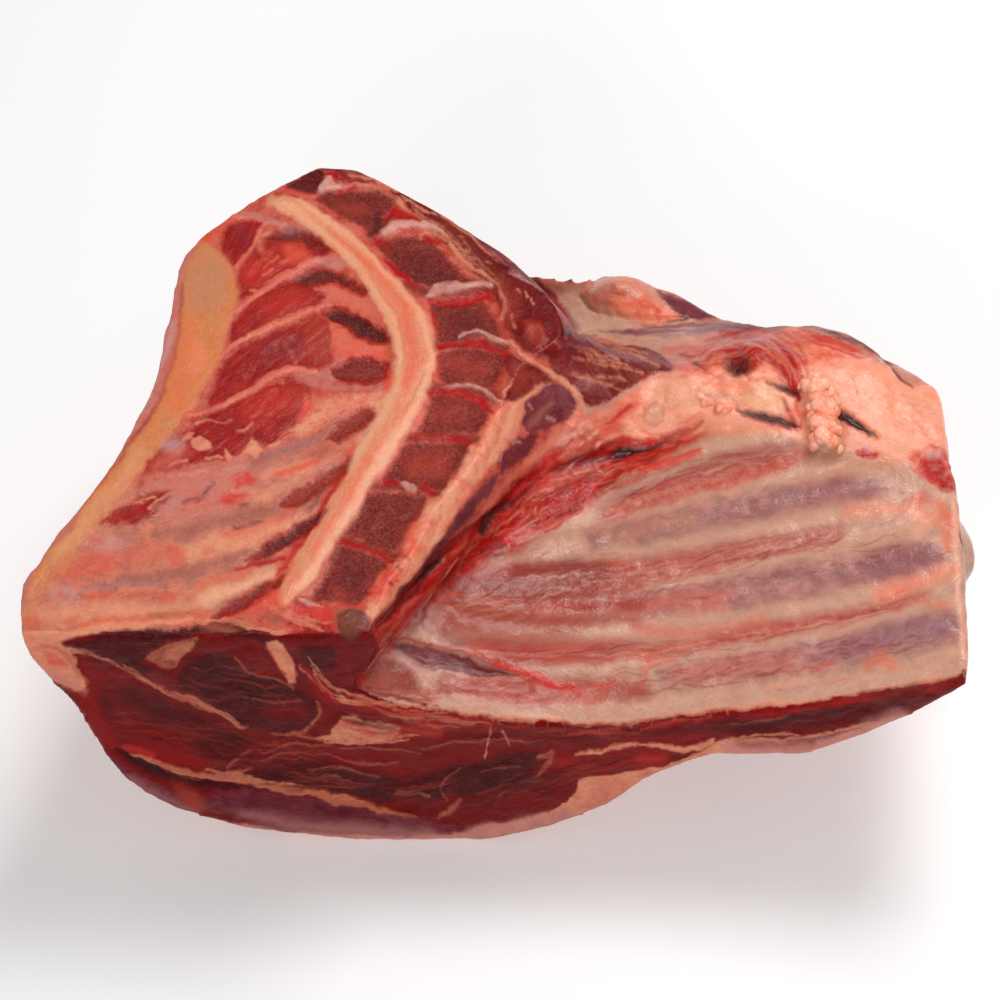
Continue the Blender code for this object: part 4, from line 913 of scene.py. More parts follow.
def paint_ribs(wall):
    """The ribs under their lining, with the muscle between them."""
    tint, glaze, ink, lift, follow = wall.tint, wall.glaze, wall.ink, wall.lift, wall.follow
    tint("lining", 8, 1.0, [(470, 560), (600, 500), (640, 420), (960, 400), (975, 690), (700, 730),
                            (330, 720), (380, 620)], blots="lining_pale")
    tint("olive", 12, 0.6, [(640, 470), (700, 440), (790, 434), (880, 450), (900, 480), (820, 476)])
    tint("lining_pale", 10, 0.8, [(596, 480), (660, 462), (720, 436), (800, 442), (760, 444), (690, 456),
                                  (620, 490)])
    for rib in RIBS:
        line = [point[:2] for point in rib]
        tint("olive", 12, 0.5, rib)
        tint("lining_violet", 9, 0.95, rib, blots="lilac")
        follow(line, 70)
        lift(0.5, 14, rib)
    tint("lining_deep", 10, 0.75, [(780, 500, 12), (830, 490, 18), (862, 487, 18)])
    tint("lining_deep", 11, 0.95, [(870, 566, 18), (905, 560, 30), (926, 556, 22)])
    tint("lining_deep", 12, 0.9, [(820, 656, 10), (880, 640, 20), (920, 632, 26), (944, 626, 24)],
         blots="bluish")
    tint("olive", 10, 0.6, [(612, 538), (650, 528), (690, 520)], 14)
    tint("salmon", 12, 0.6, [(620, 608), (670, 602), (720, 600)], 16)
    tint("salmon", 12, 0.45, [(680, 674), (730, 668), (790, 664)], 16)
    # Cream beside each rib.
    for line, width in (([(600, 556), (660, 550), (720, 538), (790, 522), (850, 510), (890, 506)], 11),
                        ([(640, 514), (700, 494), (760, 480), (830, 468), (870, 470)], 9),
                        ([(620, 592), (680, 580), (740, 568), (800, 555), (850, 543), (900, 532)], 7),
                        ([(490, 632), (580, 634), (680, 627), (760, 616), (840, 601), (900, 588),
                          (952, 572)], 11), ([(640, 664), (700, 656), (760, 646), (840, 630), (900, 612),
                                              (950, 600)], 7)):
        tint("lining_pale", 7, 0.85, line, width)
    tint("lining_pale", 7, 0.9, [(420, 700), (480, 710), (560, 715), (640, 710), (700, 700), (780, 694),
                                 (860, 684), (958, 662)], 14, "pale")
    tint("olive", 9, 0.7, [(460, 620), (540, 624), (620, 620)], 12)
    for stripe in STRIPES:
        ink("stripe", stripe, crisp=0.8)
        lift(-0.6, 8, stripe)
        wall.grain(30, stripe)
        glaze("coral", 8, 0.25, stripe)
    wall.grain(16, STRIPES[2])
    glaze("film_dark", 10, 0.85, [(456, 588), (500, 572), (560, 564), (610, 566), (600, 580), (550, 592),
                                  (490, 598)])
    glaze("lining_violet", 10, 0.6, [(600, 506), (640, 486), (690, 470), (740, 456), (790, 448)], 9)
    glaze("lining_violet", 10, 0.35, [(640, 560), (700, 550), (760, 542), (830, 533)], 8)
    glaze("rose", 9, 0.35, [(716, 488), (760, 476), (790, 464)], 8)
    glaze("salmon", 10, 0.5, [(470, 650), (560, 648), (640, 650)], 10)
    for k in range(16):
        x = 606 + 13 * k
        y = 512 - 4.3 * k
        glaze("lining_pale", 1.4, 0.5, [(x, y + 3), (x + 12, y - 4), (x + 25, y - 11)], 0.8)
    for k in range(22):
        x = 590 + 11.5 * k
        y = 590 - 2.4 * k
        glaze("lining_pale", 1.4, 0.45, [(x, y), (x + 14, y - 7), (x + 30, y - 15)], 0.8)
    for k in range(16):
        x = 640 + 14 * k
        y = 654 - 2.2 * k
        glaze("cream", 1.4, 0.4, [(x, y), (x + 15, y - 4), (x + 34, y - 8)], 0.8)
    # Blood-tinted streaks under the lining.
    for colour, width, soft, strength, line in (
            ("film_red", 14, 7, 0.9, [(452, 604), (510, 606), (570, 608), (636, 604)]),
            ("rose", 7, 5, 0.6, [(456, 598), (520, 602), (580, 602)]),
            ("film_red", 20, 9, 0.85, [(480, 676), (540, 688), (600, 688), (640, 690)]),
            ("rose", 7, 4, 0.85, [(500, 664), (530, 674), (556, 688), (580, 696)]),
            ("pinkish", 16, 9, 0.7, [(470, 690), (540, 698), (600, 700)]),
            ("pinkish", 12, 9, 0.6, [(420, 696), (470, 700), (520, 702)]),
            ("salmon", 12, 8, 0.6, [(640, 628), (700, 632), (760, 622)]),
            ("coral", 12, 7, 0.6, [(822, 690), (846, 684)]),
            ("orange", 12, 6, 0.6, [(868, 664), (882, 656), (892, 664)]),
            ("orange", 4, 3, 0.6, [(806, 668), (830, 663)]),
            ("peach", 14, 8, 0.7, [(880, 594), (920, 582), (952, 570)]),
            ("coral", 3, 2.5, 0.5, [(880, 598), (910, 588)]),
            ("peach", 12, 9, 0.6, [(850, 512), (900, 508), (940, 520)])):
        tint(colour, soft, strength, line, width)
    for mark, width in (([(648, 654), (646, 668), (640, 686)], 4),
                        ([(640, 667), (656, 663), (676, 659)], 4), ([(646, 655), (656, 657)], 3),
                        ([(598, 686), (610, 684)], 7), ([(715, 568), (717, 573)], 3),
                        ([(868, 450), (878, 454)], 8)):
        ink("rose", mark, width, 0.7, 1.5)
    ink("blood", [(864, 449), (870, 454), (877, 456)], 5)
    for x, y, length in ((662, 520, 14), (718, 520, 10), (716, 604, 22), (778, 586, 10), (806, 658, 12),
                         (600, 554, 18), (540, 553, 12)):
        glaze("stripe_deep", 1.6, 0.4, [(x, y), (x + length, y - 1)], 1.2)
    # Painted glints: small pale specks on the lining.
    for x, y in ((674, 543), (714, 541), (760, 548), (782, 560), (786, 606), (690, 585), (622, 558),
                 (830, 462), (724, 632), (530, 655), (520, 652), (590, 656), (700, 628), (680, 624)):
        ink("gristle_and_glint", [(x, y), (x + 3, y)], 1.6)
    # The lower left, where the lining runs into the crease.
    tint("film_dark", 12, 0.9, [(430, 576), (520, 562), (600, 560), (640, 584), (560, 600), (470, 612),
                                (420, 620)], blots="film_red")
    tint("grey_film_and_shade", 7, 0.85, [(440, 626, 12), (510, 622, 14), (570, 622, 12), (640, 620, 8)],
         blots="film_red")
    glaze("film_dark", 12, 0.6, [(446, 604), (500, 586), (580, 572), (610, 584), (560, 606), (480, 620)])
    glaze("film_red", 12, 0.6, [(440, 604), (500, 594), (570, 592), (600, 610), (560, 640), (470, 640),
                                (430, 624)])
    glaze("film_red", 12, 0.5, [(440, 682), (500, 680), (580, 690), (620, 700), (540, 706), (460, 702)])
    tint("lining_violet", 8, 0.9, [(440, 640), (480, 636), (540, 640), (620, 644), (600, 660), (540, 664),
                                   (480, 656)], blots="film_red")
    tint("wine_light", 9, 0.9, [(340, 704), (342, 650), (372, 630), (410, 600), (436, 578), (450, 578),
                                (440, 596), (414, 618), (394, 642), (370, 660), (366, 700)], blots="rose")
    tint("film_red", 8, 0.95, [(364, 664), (392, 654), (412, 672), (420, 696), (380, 694), (362, 684)],
         blots="film_dark")
    tint("film_dark", 8, 0.8, [(350, 690), (400, 696), (440, 706), (400, 708), (350, 700)], blots="lilac")
    tint("grey_film_and_shade", 8, 0.9, [(414, 612), (436, 606), (456, 618), (450, 634), (424, 634), (406, 626)],
         blots="silver")
    tint("silver", 5, 0.9, [(421, 604), (436, 591), (443, 588)], 7)
    tint("coral", 5, 0.8, [(440, 602), (448, 594), (456, 592)], 5)
    tint("orange", 5, 0.7, [(452, 606, 6), (500, 610, 10), (560, 612, 8), (600, 610, 4)], blots="olive")
    tint("rose", 3, 0.8, [(447, 590, 3), (462, 594, 4), (476, 598, 3), (510, 603, 5), (560, 606, 4),
                          (590, 606, 2)], blots="coral")
    tint("film_red", 12, 0.8, [(440, 682), (500, 684), (570, 692), (560, 700), (480, 700)], blots="pinkish")
    tint("lilac", 6, 0.7, [(391, 650), (408, 664), (430, 671), (460, 676)], 6, "silver")
    band = [(395, 643), (412, 644), (430, 646), (459, 655), (489, 666), (521, 675), (500, 675), (468, 673),
            (442, 670), (421, 664), (404, 654)]
    ink("plum", band, crisp=0.9)
    wall.grain(-24, band)
    lift(-0.9, 6, band)
    glaze("wine", 6, 0.5, band)
    glaze("wine", 6, 0.7, [(450, 658, 6), (480, 665, 9), (506, 673, 5)])
    wall.glaze_strands("lilac", 1.2, 0.5, [(400, 652), (430, 660), (470, 668)], 8, 12, 1.6, 41)
    wall.glaze_strands("darkest", 1.2, 0.4, [(400, 650), (430, 656), (470, 666)], 8, 10, 1.6, 42)
    edge = [(389, 639, 3), (408, 639, 5), (425, 643, 4), (459, 651, 3), (489, 660, 4), (521, 672, 4),
            (553, 684, 3), (575, 689, 1)]
    ink("blood", edge, crisp=0.9, cap=3.0)
    glaze("rose", 4, 0.6, [(520, 672), (550, 684), (580, 692)], 7)
    wall.glaze_strands("rose", 1.4, 0.6, [(490, 662), (530, 676), (576, 690)], 5, 10, 1.8, 43)
    wall.ink_strands("blood", 0.9, 2.5, [(345, 690), (362, 664), (392, 636), (430, 596)], 9, 22, 3.4, 44)
    wall.glaze_strands("lining_pale", 1.2, 0.5, [(344, 700), (390, 700), (440, 704), (500, 708)], 8, 16,
                       1.6, 45)
    wall.glaze_strands("wine_light", 1.4, 0.5, [(344, 690), (380, 694), (430, 702)], 9, 14, 2.2, 46)
    wall.glaze_strands("lining_pale", 1.2, 0.25, [(460, 590), (520, 578), (600, 570)], 10, 12, 1.5, 47)
    wall.glaze_strands("stripe_deep", 1.2, 0.45, [(460, 588), (520, 574), (600, 564)], 10, 18, 1.8, 48)
    wall.glaze_strands("stripe_deep", 1.2, 0.4, [(470, 652), (540, 652), (640, 648)], 9, 18, 1.8, 49)
    for number, (spine, spread, count) in enumerate((
            ([(440, 612), (520, 600), (640, 588), (760, 566), (900, 540)], 26, 60),
            ([(420, 690), (540, 690), (660, 680), (800, 660), (940, 636)], 22, 60),
            ([(606, 508), (650, 486), (710, 464), (790, 450)], 11, 30),
            ([(480, 584), (560, 578), (640, 572), (720, 556), (840, 534)], 11, 44),
            ([(480, 652), (600, 650), (700, 644), (800, 626), (920, 598)], 9, 40))):
        wall.glaze_strands("stripe_deep", 1.4, 0.5, spine, spread, count, 1.8, 110 + number)
        wall.glaze_strands("lining_pale", 1.2, 0.28, spine, spread, count, 1.3, 120 + number)
    wall.moisten(8, [(400, 664), (430, 676), (450, 700), (430, 706), (402, 696)])
    wall.moisten(5, edge)
    wall.moisten(6, [(412, 616), (440, 612), (452, 632), (430, 630)])
    wall.moisten(5, [(440, 604), (450, 592), (462, 596)], 6)
    # Painted highlights on the wet lining.
    for line, width in (([(424, 641), (440, 646), (456, 649)], 1.8),
                        ([(410, 668), (424, 673), (430, 676)], 2.0),
                        ([(416, 619), (430, 617), (440, 622)], 1.6)):
        ink("gristle_and_glint", line, width, 0.9, 1)


def paint_throat(wall):
    """The side of the throat and the bloody crease between it and the ribs."""
    tint, glaze, ink, lift, follow = wall.tint, wall.glaze, wall.ink, wall.lift, wall.follow
    bed = [(346, 676, 20), (360, 656, 26), (380, 636, 24), (404, 610, 24), (424, 590, 26), (450, 566, 34),
           (480, 544, 44), (510, 524, 50), (540, 500, 52), (570, 484, 46), (600, 468, 40), (630, 456, 30),
           (664, 442, 20), (700, 430, 11), (736, 424, 5)]
    core = [(384, 632, 8), (410, 600, 10), (440, 562, 14), (470, 536, 12), (500, 512, 11), (530, 486, 9),
            (560, 466, 7), (600, 456, 10), (640, 446, 9), (680, 436, 7), (704, 426, 3)]
    spine = [point[:2] for point in bed]
    tint("blood", 9, 1.0, bed, blots="wine")
    tint("wine", 5, 0.8, core, blots="blood_dark")
    tint("wine_light", 6, 0.9, [(340, 646), (380, 620), (430, 562), (440, 570), (392, 640), (372, 668),
                                (344, 696)], blots="wine")
    # The flank under the dark muscle: pale fat, then torn red flesh.
    tint("rose", 6, 0.9, [(556, 446), (530, 474), (508, 502), (480, 530), (456, 552), (470, 556),
                          (500, 532), (540, 500), (566, 470)], blots="wine_light")
    tint("pale", 3, 0.95, [(566, 424, 6), (550, 441, 8), (534, 457, 8), (519, 472, 7), (505, 487, 6),
                           (494, 501, 5), (484, 514, 4), (472, 526, 3)], blots="salmon")
    tint("crimson", 6, 0.85, [(580, 444, 12), (600, 428, 16), (618, 412, 12), (632, 398, 9), (642, 388, 5)],
         blots="rose")
    tint("crimson", 8, 0.9, [(604, 450, 10), (640, 446, 18), (672, 438, 18), (700, 428, 10)], blots="rose")
    tint("coral", 7, 0.8, [(560, 424, 8), (580, 418, 12), (600, 412, 12), (616, 402, 8)], blots="salmon")
    follow(spine, 90)
    lift(-1.4, 14, bed)
    lift(-1.0, 5, core)
    # Pale and brown flesh lying in the bed.
    for colour, flap in (
            ("cream", [(532, 503, 4), (546, 493, 11), (560, 484, 13), (576, 475, 11), (592, 468, 4)]),
            ("tan", [(522, 516, 4), (542, 508, 13), (566, 499, 12), (588, 488, 5)]),
            ("salmon", [(606, 462, 4), (622, 466, 8), (644, 466, 10), (668, 456, 6)]),
            ("pinkish", [(512, 540, 3), (532, 530, 8), (558, 520, 7), (584, 508, 3)]),
            ("salmon", [(545, 474, 3), (556, 464, 8), (568, 452, 8), (576, 444, 4)]),
            ("tan", [(446, 566, 3), (470, 548, 6), (492, 532, 5), (510, 524, 3)]),
            ("rose", [(640, 472, 6), (670, 462, 10), (700, 450, 5)])):
        tint(colour, 3, 0.8, flap, blots="rose")
        lift(0.8, 5, flap)
    # Torn strands along it: crimson and pale, and nearly black ones along the core that are painted shade in
    # the crease's bottom.
    wall.ink_strands("blood", 1.0, 5.0, spine[:-2], 24, 90, 4.6, 11)
    wall.glaze_strands("crimson", 1.6, 0.6, spine[:-2], 9, 16, 3.0, 18)
    wall.ink_strands("fat", 1.2, 3.0, spine[4:-2], 18, 26, 1.7, 19)
    wall.glaze_strands("darkest", 1.6, 0.7, [point[:2] for point in core[:-1]], 6, 16, 2.6, 12)
    wall.ink_strands("seam", 1.0, 2.0, spine[:-2], 22, 34, 2.2, 13)
    wall.ink_strands("fat", 1.0, 2.0, [(516, 540), (560, 516), (610, 490), (660, 466)], 8, 12, 2.0, 14)
    wall.ink_strands("blood", 1.0, 4.0, [(512, 548), (560, 520), (610, 492), (650, 470)], 6, 10, 3.0, 15)
    wall.ink_strands("fat", 1.0, 2.0, [(340, 690), (362, 660), (392, 630), (430, 590)], 10, 16, 2.0, 16)
    for mark in ([(603, 447, 5), (620, 441, 8), (642, 440, 7), (664, 437, 6), (688, 429, 5), (704, 421, 2)],
                 [(606, 424, 2), (618, 416, 4), (630, 407, 3)], [(544, 466, 2), (560, 452, 3),
                                                                 (572, 440, 2)]):
        ink("blood", mark, crisp=1.0, cap=4.0)
    # Painted shade: near-black in three sunken creases, over clotted blood in the lower two.
    for crease in ([(612, 455, 5), (622, 451, 9), (634, 447, 6), (648, 443, 3)],
                   [(486, 534, 5), (492, 524, 7), (500, 514, 5), (512, 503, 3)],
                   [(424, 584, 2), (434, 572, 6), (444, 564, 5)]):
        glaze("darkest", 2.5, 0.95, crease)
        lift(-1.2, 4, crease)
    wall.moisten(4, [(530, 506), (556, 492), (584, 476)], 12)
    wall.moisten(4, [(540, 520), (580, 504), (620, 482)], 6)
    for x, y, size in ((564, 441, 8), (600, 446, 9), (622, 452, 6), (500, 548, 8), (468, 566, 8)):
        wall.moisten(3, [(x - 3, y + 2), (x + 3, y - 2)], size)
    # Dark muscle strip beside the pale fat, in three parts.
    strip = [
        [(536, 392), (548, 382), (562, 384), (573, 394), (577, 408), (570, 418), (556, 424), (544, 428),
         (530, 434), (522, 426), (526, 412), (524, 404)],
        [(540, 432), (534, 446), (522, 458), (510, 468), (502, 476), (498, 464), (506, 450), (518, 438),
         (530, 434)],
        [(500, 474), (494, 490), (482, 502), (470, 518), (456, 532), (444, 548), (432, 562), (418, 580),
         (406, 596), (398, 612), (386, 626), (368, 640), (352, 642), (372, 624), (390, 608), (404, 588),
         (418, 570), (432, 548), (446, 530), (460, 510), (474, 494), (488, 482)],]
    for part in strip:
        ink("plum", part, crisp=0.9)
    wall.grain(50, strip[2])
    glaze("dark", 8, 0.6, [(470, 512), (440, 548), (410, 586), (384, 622)], 9)
    glaze("wine", 6, 0.5, [(556, 396), (570, 404), (562, 416)], 9)
    glaze("grey_film_and_shade", 4, 0.6, [(552, 402, 2), (543, 413, 6), (531, 427, 5)])
    # Painted glints on the dark muscle.
    for line in ([(530, 404), (534, 410)], [(512, 444), (520, 442)], [(548, 418), (554, 421)],
                 [(500, 462), (502, 456)]):
        ink("gristle_and_glint", line, 1.4, 0.7, 0.4)
    wall.moisten(6, [(530, 400), (560, 416), (520, 440), (500, 470), (450, 530), (400, 600)], 12)
    tint("pale", 5, 0.95, [(548, 378), (536, 386), (526, 398), (518, 416), (510, 436)], 9, "cream")
    # Wet lumps of fat at the throat's top, each with a painted glint.
    for x, y, size in ((572, 428, 9), (582, 434, 9), (590, 440, 8), (580, 446, 8), (588, 428, 7),
                       (598, 446, 6), (594, 434, 5), (574, 438, 6)):
        tint("peach", 4, 0.7, [(x - 1, y), (x + 1, y)], size, "rose_pale")
        lift(1.0, size * 0.6, [(x - 1, y), (x + 1, y)], size)
        wall.moisten(4, [(x - 1, y), (x + 1, y)], size)
        ink("gristle_and_glint", [(x - 1, y - 1), (x + 2, y - 3)], 1.8, 0.8, 1)
    # Painted glints on the flaps and along the crease.
    for line, width in (([(552, 494), (566, 484), (584, 474)], 1.8), ([(545, 497), (553, 489)], 2.4),
                        ([(573, 507), (580, 503)], 1.6), ([(618, 478), (626, 473)], 1.6),
                        ([(494, 552), (506, 548)], 1.6), ([(608, 462), (612, 456)], 1.8),
                        ([(620, 454), (626, 452)], 2.0), ([(498, 533), (502, 529)], 1.6),
                        ([(586, 527), (604, 520), (623, 514)], 2.6)):
        ink("gristle_and_glint", line, width, 0.9, 1.5)


def paint_ridge(wall):
    """Neck muscle, marbled muscle, the ledge and lobe behind, and the lumpy fat over the ribs."""
    tint, glaze, ink, lift = wall.tint, wall.glaze, wall.ink, wall.lift
    # The ledge of fat and silver skin, and the lobe on the back.
    tint("lining_pale", 6, 1.0, [(548, 292), (580, 288), (640, 316), (700, 322), (800, 326), (760, 340),
                                 (700, 352), (640, 352), (590, 340), (562, 330)], blots="lining")
    tint("lining", 6, 0.9, [(600, 330), (660, 344), (720, 348), (690, 356), (640, 352)])
    tint("peach", 5, 0.9, [(578, 292), (590, 278), (606, 272), (626, 275), (642, 288), (664, 298),
                           (680, 318), (650, 322), (612, 312), (588, 300)], blots="cover")
    tint("peach", 5, 0.9, [(612, 304), (640, 300), (668, 310), (676, 318), (640, 320)], blots="coral")
    lift(2.0, 9, [(586, 296), (604, 276), (630, 276), (660, 304), (640, 314), (604, 306)])
    lift(-1.2, 3, [(580, 300), (600, 312), (640, 320), (684, 318)], 3)
    ink("plum", [(616, 293), (622, 294)], 2.0, 0.6, 0)
    ink("plum", [(655, 290), (680, 298), (704, 307), (724, 317), (700, 318), (680, 316), (668, 306)])
    ink("black", [(668, 321), (684, 319), (690, 316)], 2.0)
    ledge = [(580, 330), (640, 330), (700, 328), (750, 328), (790, 330)]
    wall.glaze_strands("bluish", 2, 0.7, ledge, 8, 26, 4.0, 21)
    wall.glaze_strands("violet", 1.5, 0.5, ledge, 8, 14, 2.6, 22)
    wall.ink_strands("fat", 0.8, 0.6, [(590, 340), (640, 344), (700, 342), (760, 334)], 8, 18, 2.0, 23)
    for line in ([(600, 334), (640, 340), (700, 341), (740, 336)], [(590, 330), (630, 334), (680, 338)],
                 [(650, 326), (700, 322), (740, 322)], [(690, 330), (740, 328)]):
        lift(-0.4, 2, line, 1.5)
    marbled = [(560, 340), (580, 337), (610, 343), (648, 350), (666, 358), (674, 370), (650, 378),
               (628, 388), (606, 402), (588, 407), (578, 400), (568, 386), (552, 370), (548, 354)]
    ink("brick", marbled)
    lift(0.8, 10, marbled)
    wall.grain(-18, marbled)
    glaze("plum", 7, 0.7, [(556, 342), (576, 340), (590, 348), (566, 356)])
    glaze("violet", 5, 0.5, [(660, 358), (672, 368)], 9)
    for spine in ([(556, 352), (590, 360), (630, 372), (650, 376)], [(566, 368), (590, 378), (620, 388)],
                  [(580, 346), (620, 354), (662, 366)]):
        wall.ink_strands("fat", 0.5, 0.6, spine, 10, 7, 1.3, 24 + spine[0][0])
    tint("lining", 5, 1.0, [(586, 412), (606, 404), (630, 390), (660, 378), (690, 364)], 8, "lilac")
    for seam in ([(518, 352, 2), (532, 360, 4), (546, 370, 4), (560, 380, 6), (572, 390, 6), (579, 402, 6),
                  (584, 414, 3)], [(500, 338, 2), (512, 342, 3), (519, 352, 2)],
                  [(510, 380, 1), (505, 392, 2)]):
        ink("fat", seam, crisp=0.8)
        lift(0.5, 3, seam)
    # Neck muscle up to its shiny, bloody edge.
    tint("dark", 6, 1.0, [(500, 262), (540, 286), (576, 326), (570, 344), (540, 330), (500, 300)],
         blots="wine")
    neck = [(500, 262), (524, 278), (548, 294), (564, 316), (576, 336), (562, 350), (548, 356), (530, 346),
            (514, 330), (504, 312), (494, 290)]
    ink("dark", neck, crisp=0.9)
    wall.grain(-45, neck)
    lift(0.5, 8, neck)
    glaze("rust", 10, 0.5, [(500, 280), (516, 300), (512, 326), (500, 310)])
    glaze("rust", 6, 0.8, [(524, 322), (538, 324), (546, 336), (540, 346), (528, 340)])
    lift(0.9, 6, [(526, 326), (538, 328), (542, 338)], 10)
    glaze("wine_light", 6, 0.6, [(538, 350), (560, 344), (572, 338)], 9)
    ink("blood", [(546, 290, 3), (556, 302, 6), (565, 318, 6), (573, 332, 4)], crisp=0.8, cap=3)
    wall.ink_strands("gristle_and_glint", 0.8, 0.4, [(512, 270), (534, 284), (552, 300), (568, 326)], 7, 16, 2.0, 25)
    for x, y in ((510, 314), (514, 322), (540, 346), (530, 300), (516, 290), (524, 294), (556, 344)):
        ink("fat", [(x, y), (x + 2, y + 4)], 1.8)
    ink("brick", [(504, 356), (520, 356), (540, 368), (556, 382), (540, 382), (528, 392), (516, 404),
                  (506, 400), (508, 380)], crisp=0.8)
    glaze("rust", 6, 0.5, [(512, 364), (528, 372), (516, 392)])
    # The ridge of fat: two big swells and smaller lumps.
    tint("peach", 9, 1.0, [(590, 430), (620, 400), (670, 372), (700, 352), (730, 334), (780, 328),
                           (840, 330), (890, 360), (944, 384), (954, 440), (900, 462), (830, 440),
                           (760, 432), (700, 428), (660, 440), (620, 444)], blots="white_fat")
    tint("white_fat", 12, 0.95, [(820, 372), (866, 362), (900, 384), (938, 392), (948, 440), (900, 440),
                                 (856, 410), (836, 400)], blots="peach")
    tint("cream", 10, 0.7, [(842, 440), (880, 436), (912, 446), (890, 462), (856, 456)])
    tint("white_fat", 8, 0.9, [(640, 394), (670, 382), (700, 382), (720, 400), (700, 416), (676, 404)],
         blots="cream")
    tint("cream", 5, 0.95, [(742, 392), (762, 384), (784, 394), (792, 410), (764, 409), (742, 403)],
         blots="ivory")
    tint("cream", 8, 0.8, [(674, 424), (700, 416), (740, 420), (780, 430), (740, 432), (700, 430)])
    tint("rose_pale", 12, 0.75, [(770, 336), (800, 334), (816, 340), (800, 352), (790, 364), (778, 348)],
         blots="coral")
    tint("coral", 14, 0.8, [(782, 340), (810, 336), (836, 344), (842, 356), (824, 364), (804, 370),
                            (792, 356)], blots="peach")
    tint("peach", 6, 0.85, [(700, 350), (718, 346), (728, 354), (716, 368), (702, 364)], blots="orange")
    tint("coral", 8, 0.8, [(596, 430), (612, 414), (636, 396), (626, 420), (604, 440)], blots="rose")
    tint("coral", 7, 0.7, [(664, 350, 6), (700, 344, 8), (728, 334, 6)])
    tint("coral", 6, 0.7, [(670, 366, 4), (700, 372, 7), (722, 376, 5)])
    for x, y, size in ((668, 396, 14), (684, 408, 12), (728, 398, 8), (852, 380, 16), (878, 404, 18),
                       (916, 400, 14)):
        tint("ivory", size * 0.6, 0.5, [(x - 4, y), (x + 4, y)], size)
    knob = [(640, 414), (646, 405), (656, 404), (664, 410), (663, 420), (654, 425), (644, 422)]
    tint("lining_pale", 5, 0.8, knob, blots="cream")
    tint("pinkish", 2, 0.6, knob + knob[:1], 2)
    lift(1.2, 7, knob)
    tint("ivory", 3, 0.9, [(650, 411), (657, 411)], 6)
    wall.moisten(6, [(650, 406), (666, 400), (676, 396)], 12)
    # Painted glints on the knob.
    for line in ([(662, 404), (664, 409)], [(668, 402), (670, 407)], [(674, 401), (675, 406)],
                 [(654, 409), (656, 412)], [(664, 398), (667, 401)]):
        ink("gristle_and_glint", line, 1.6, 0.9, 1)
    for x, y, size, height in ((706, 396, 13, 1.0), (722, 388, 11, 0.9), (724, 404, 11, 0.8),
                               (690, 376, 12, 0.8), (676, 404, 18, 1.2), (694, 418, 12, 0.8),
                               (758, 396, 15, 1.2), (712, 356, 14, 1.4), (930, 426, 13, 1.4),
                               (916, 408, 14, 0.8), (870, 388, 26, 0.8), (620, 424, 10, 0.8)):
        lift(height, size * 0.7, [(x - 2, y), (x + 2, y)], size)
    # Painted bluish reflection on the wet lumps.
    glaze("lilac", 5, 0.5, [(698, 392), (708, 396), (716, 400)], 7)
    glaze("tan", 4, 0.5, [(724, 396), (736, 400), (740, 410)], 4)
    # Painted glints on the lumps.
    for line in ([(703, 396), (706, 401)], [(709, 394), (712, 400)], [(712, 404), (713, 408)],
                 [(726, 378), (729, 382)]):
        ink("gristle_and_glint", line, 2.0, 0.9, 1)
    wall.moisten(8, [(664, 404), (690, 396), (716, 402)], 16)
    # Veins and folds, red and soft.
    for line in ([(640, 380), (664, 378), (684, 378)], [(668, 366), (690, 364), (704, 368), (718, 374)],
                 [(704, 384), (716, 376), (722, 370)], [(700, 414), (690, 420), (680, 422)],
                 [(826, 352), (850, 356), (870, 356)], [(790, 340), (830, 340), (850, 348)],
                 [(916, 420), (922, 432), (932, 438)], [(746, 378), (768, 380)],
                 [(806, 334), (830, 344), (858, 350)], [(640, 430), (660, 434), (690, 424), (704, 416)]):
        ink("rose", line, 1.6, 0.8, 0.4)
        lift(-0.4, 3, line, 2)
    wall.glaze_strands("rose", 1.5, 0.6, [(790, 336), (826, 342), (866, 356)], 9, 16, 2.0, 26)
    wall.glaze_strands("coral", 1.5, 0.45, [(840, 372), (852, 388), (850, 410)], 12, 8, 1.4, 27)
    # The dark muscle edge along the top, and the flap behind it.
    edge = [(790, 325, 2), (806, 326, 4), (824, 329, 7), (844, 335, 8), (862, 345, 7), (876, 354, 5),
            (886, 363, 2)]
    tint("brick", 4, 0.95, edge, blots="wine")
    tint("rust", 4, 0.8, [(800, 331, 2), (830, 337, 4), (858, 350, 3), (876, 360, 2)])
    tint("cover", 4, 0.9, [(886, 360), (914, 368), (936, 382), (908, 381), (896, 374)])
    ink("brick", [(878, 356, 2), (890, 366, 3), (902, 377, 3), (914, 384, 1)], crisp=1.0, cap=1.5)
    lift(-0.8, 3, [(880, 358), (892, 368), (904, 378), (930, 384)], 3)
    # Blood, and painted shade in a cavity and in the dark gaps.
    tint("blood", 7, 0.95, [(690, 358, 5), (712, 350, 9), (730, 346, 14), (750, 342, 20), (770, 346, 20),
                            (784, 358, 16), (791, 374, 12), (794, 392, 7)], blots="rose")
    cavity = [(722, 364), (726, 352), (734, 346), (744, 352), (750, 362), (744, 372), (732, 373)]
    ink("blood", [(728, 344), (740, 336), (754, 334), (768, 344), (772, 356), (762, 366), (750, 372),
                  (738, 372), (728, 360)], crisp=0.9, cap=8)
    ink("blood", [(768, 350), (782, 350), (792, 362), (796, 378), (799, 392), (792, 394), (786, 380),
                  (774, 366)], crisp=1.0, cap=8)
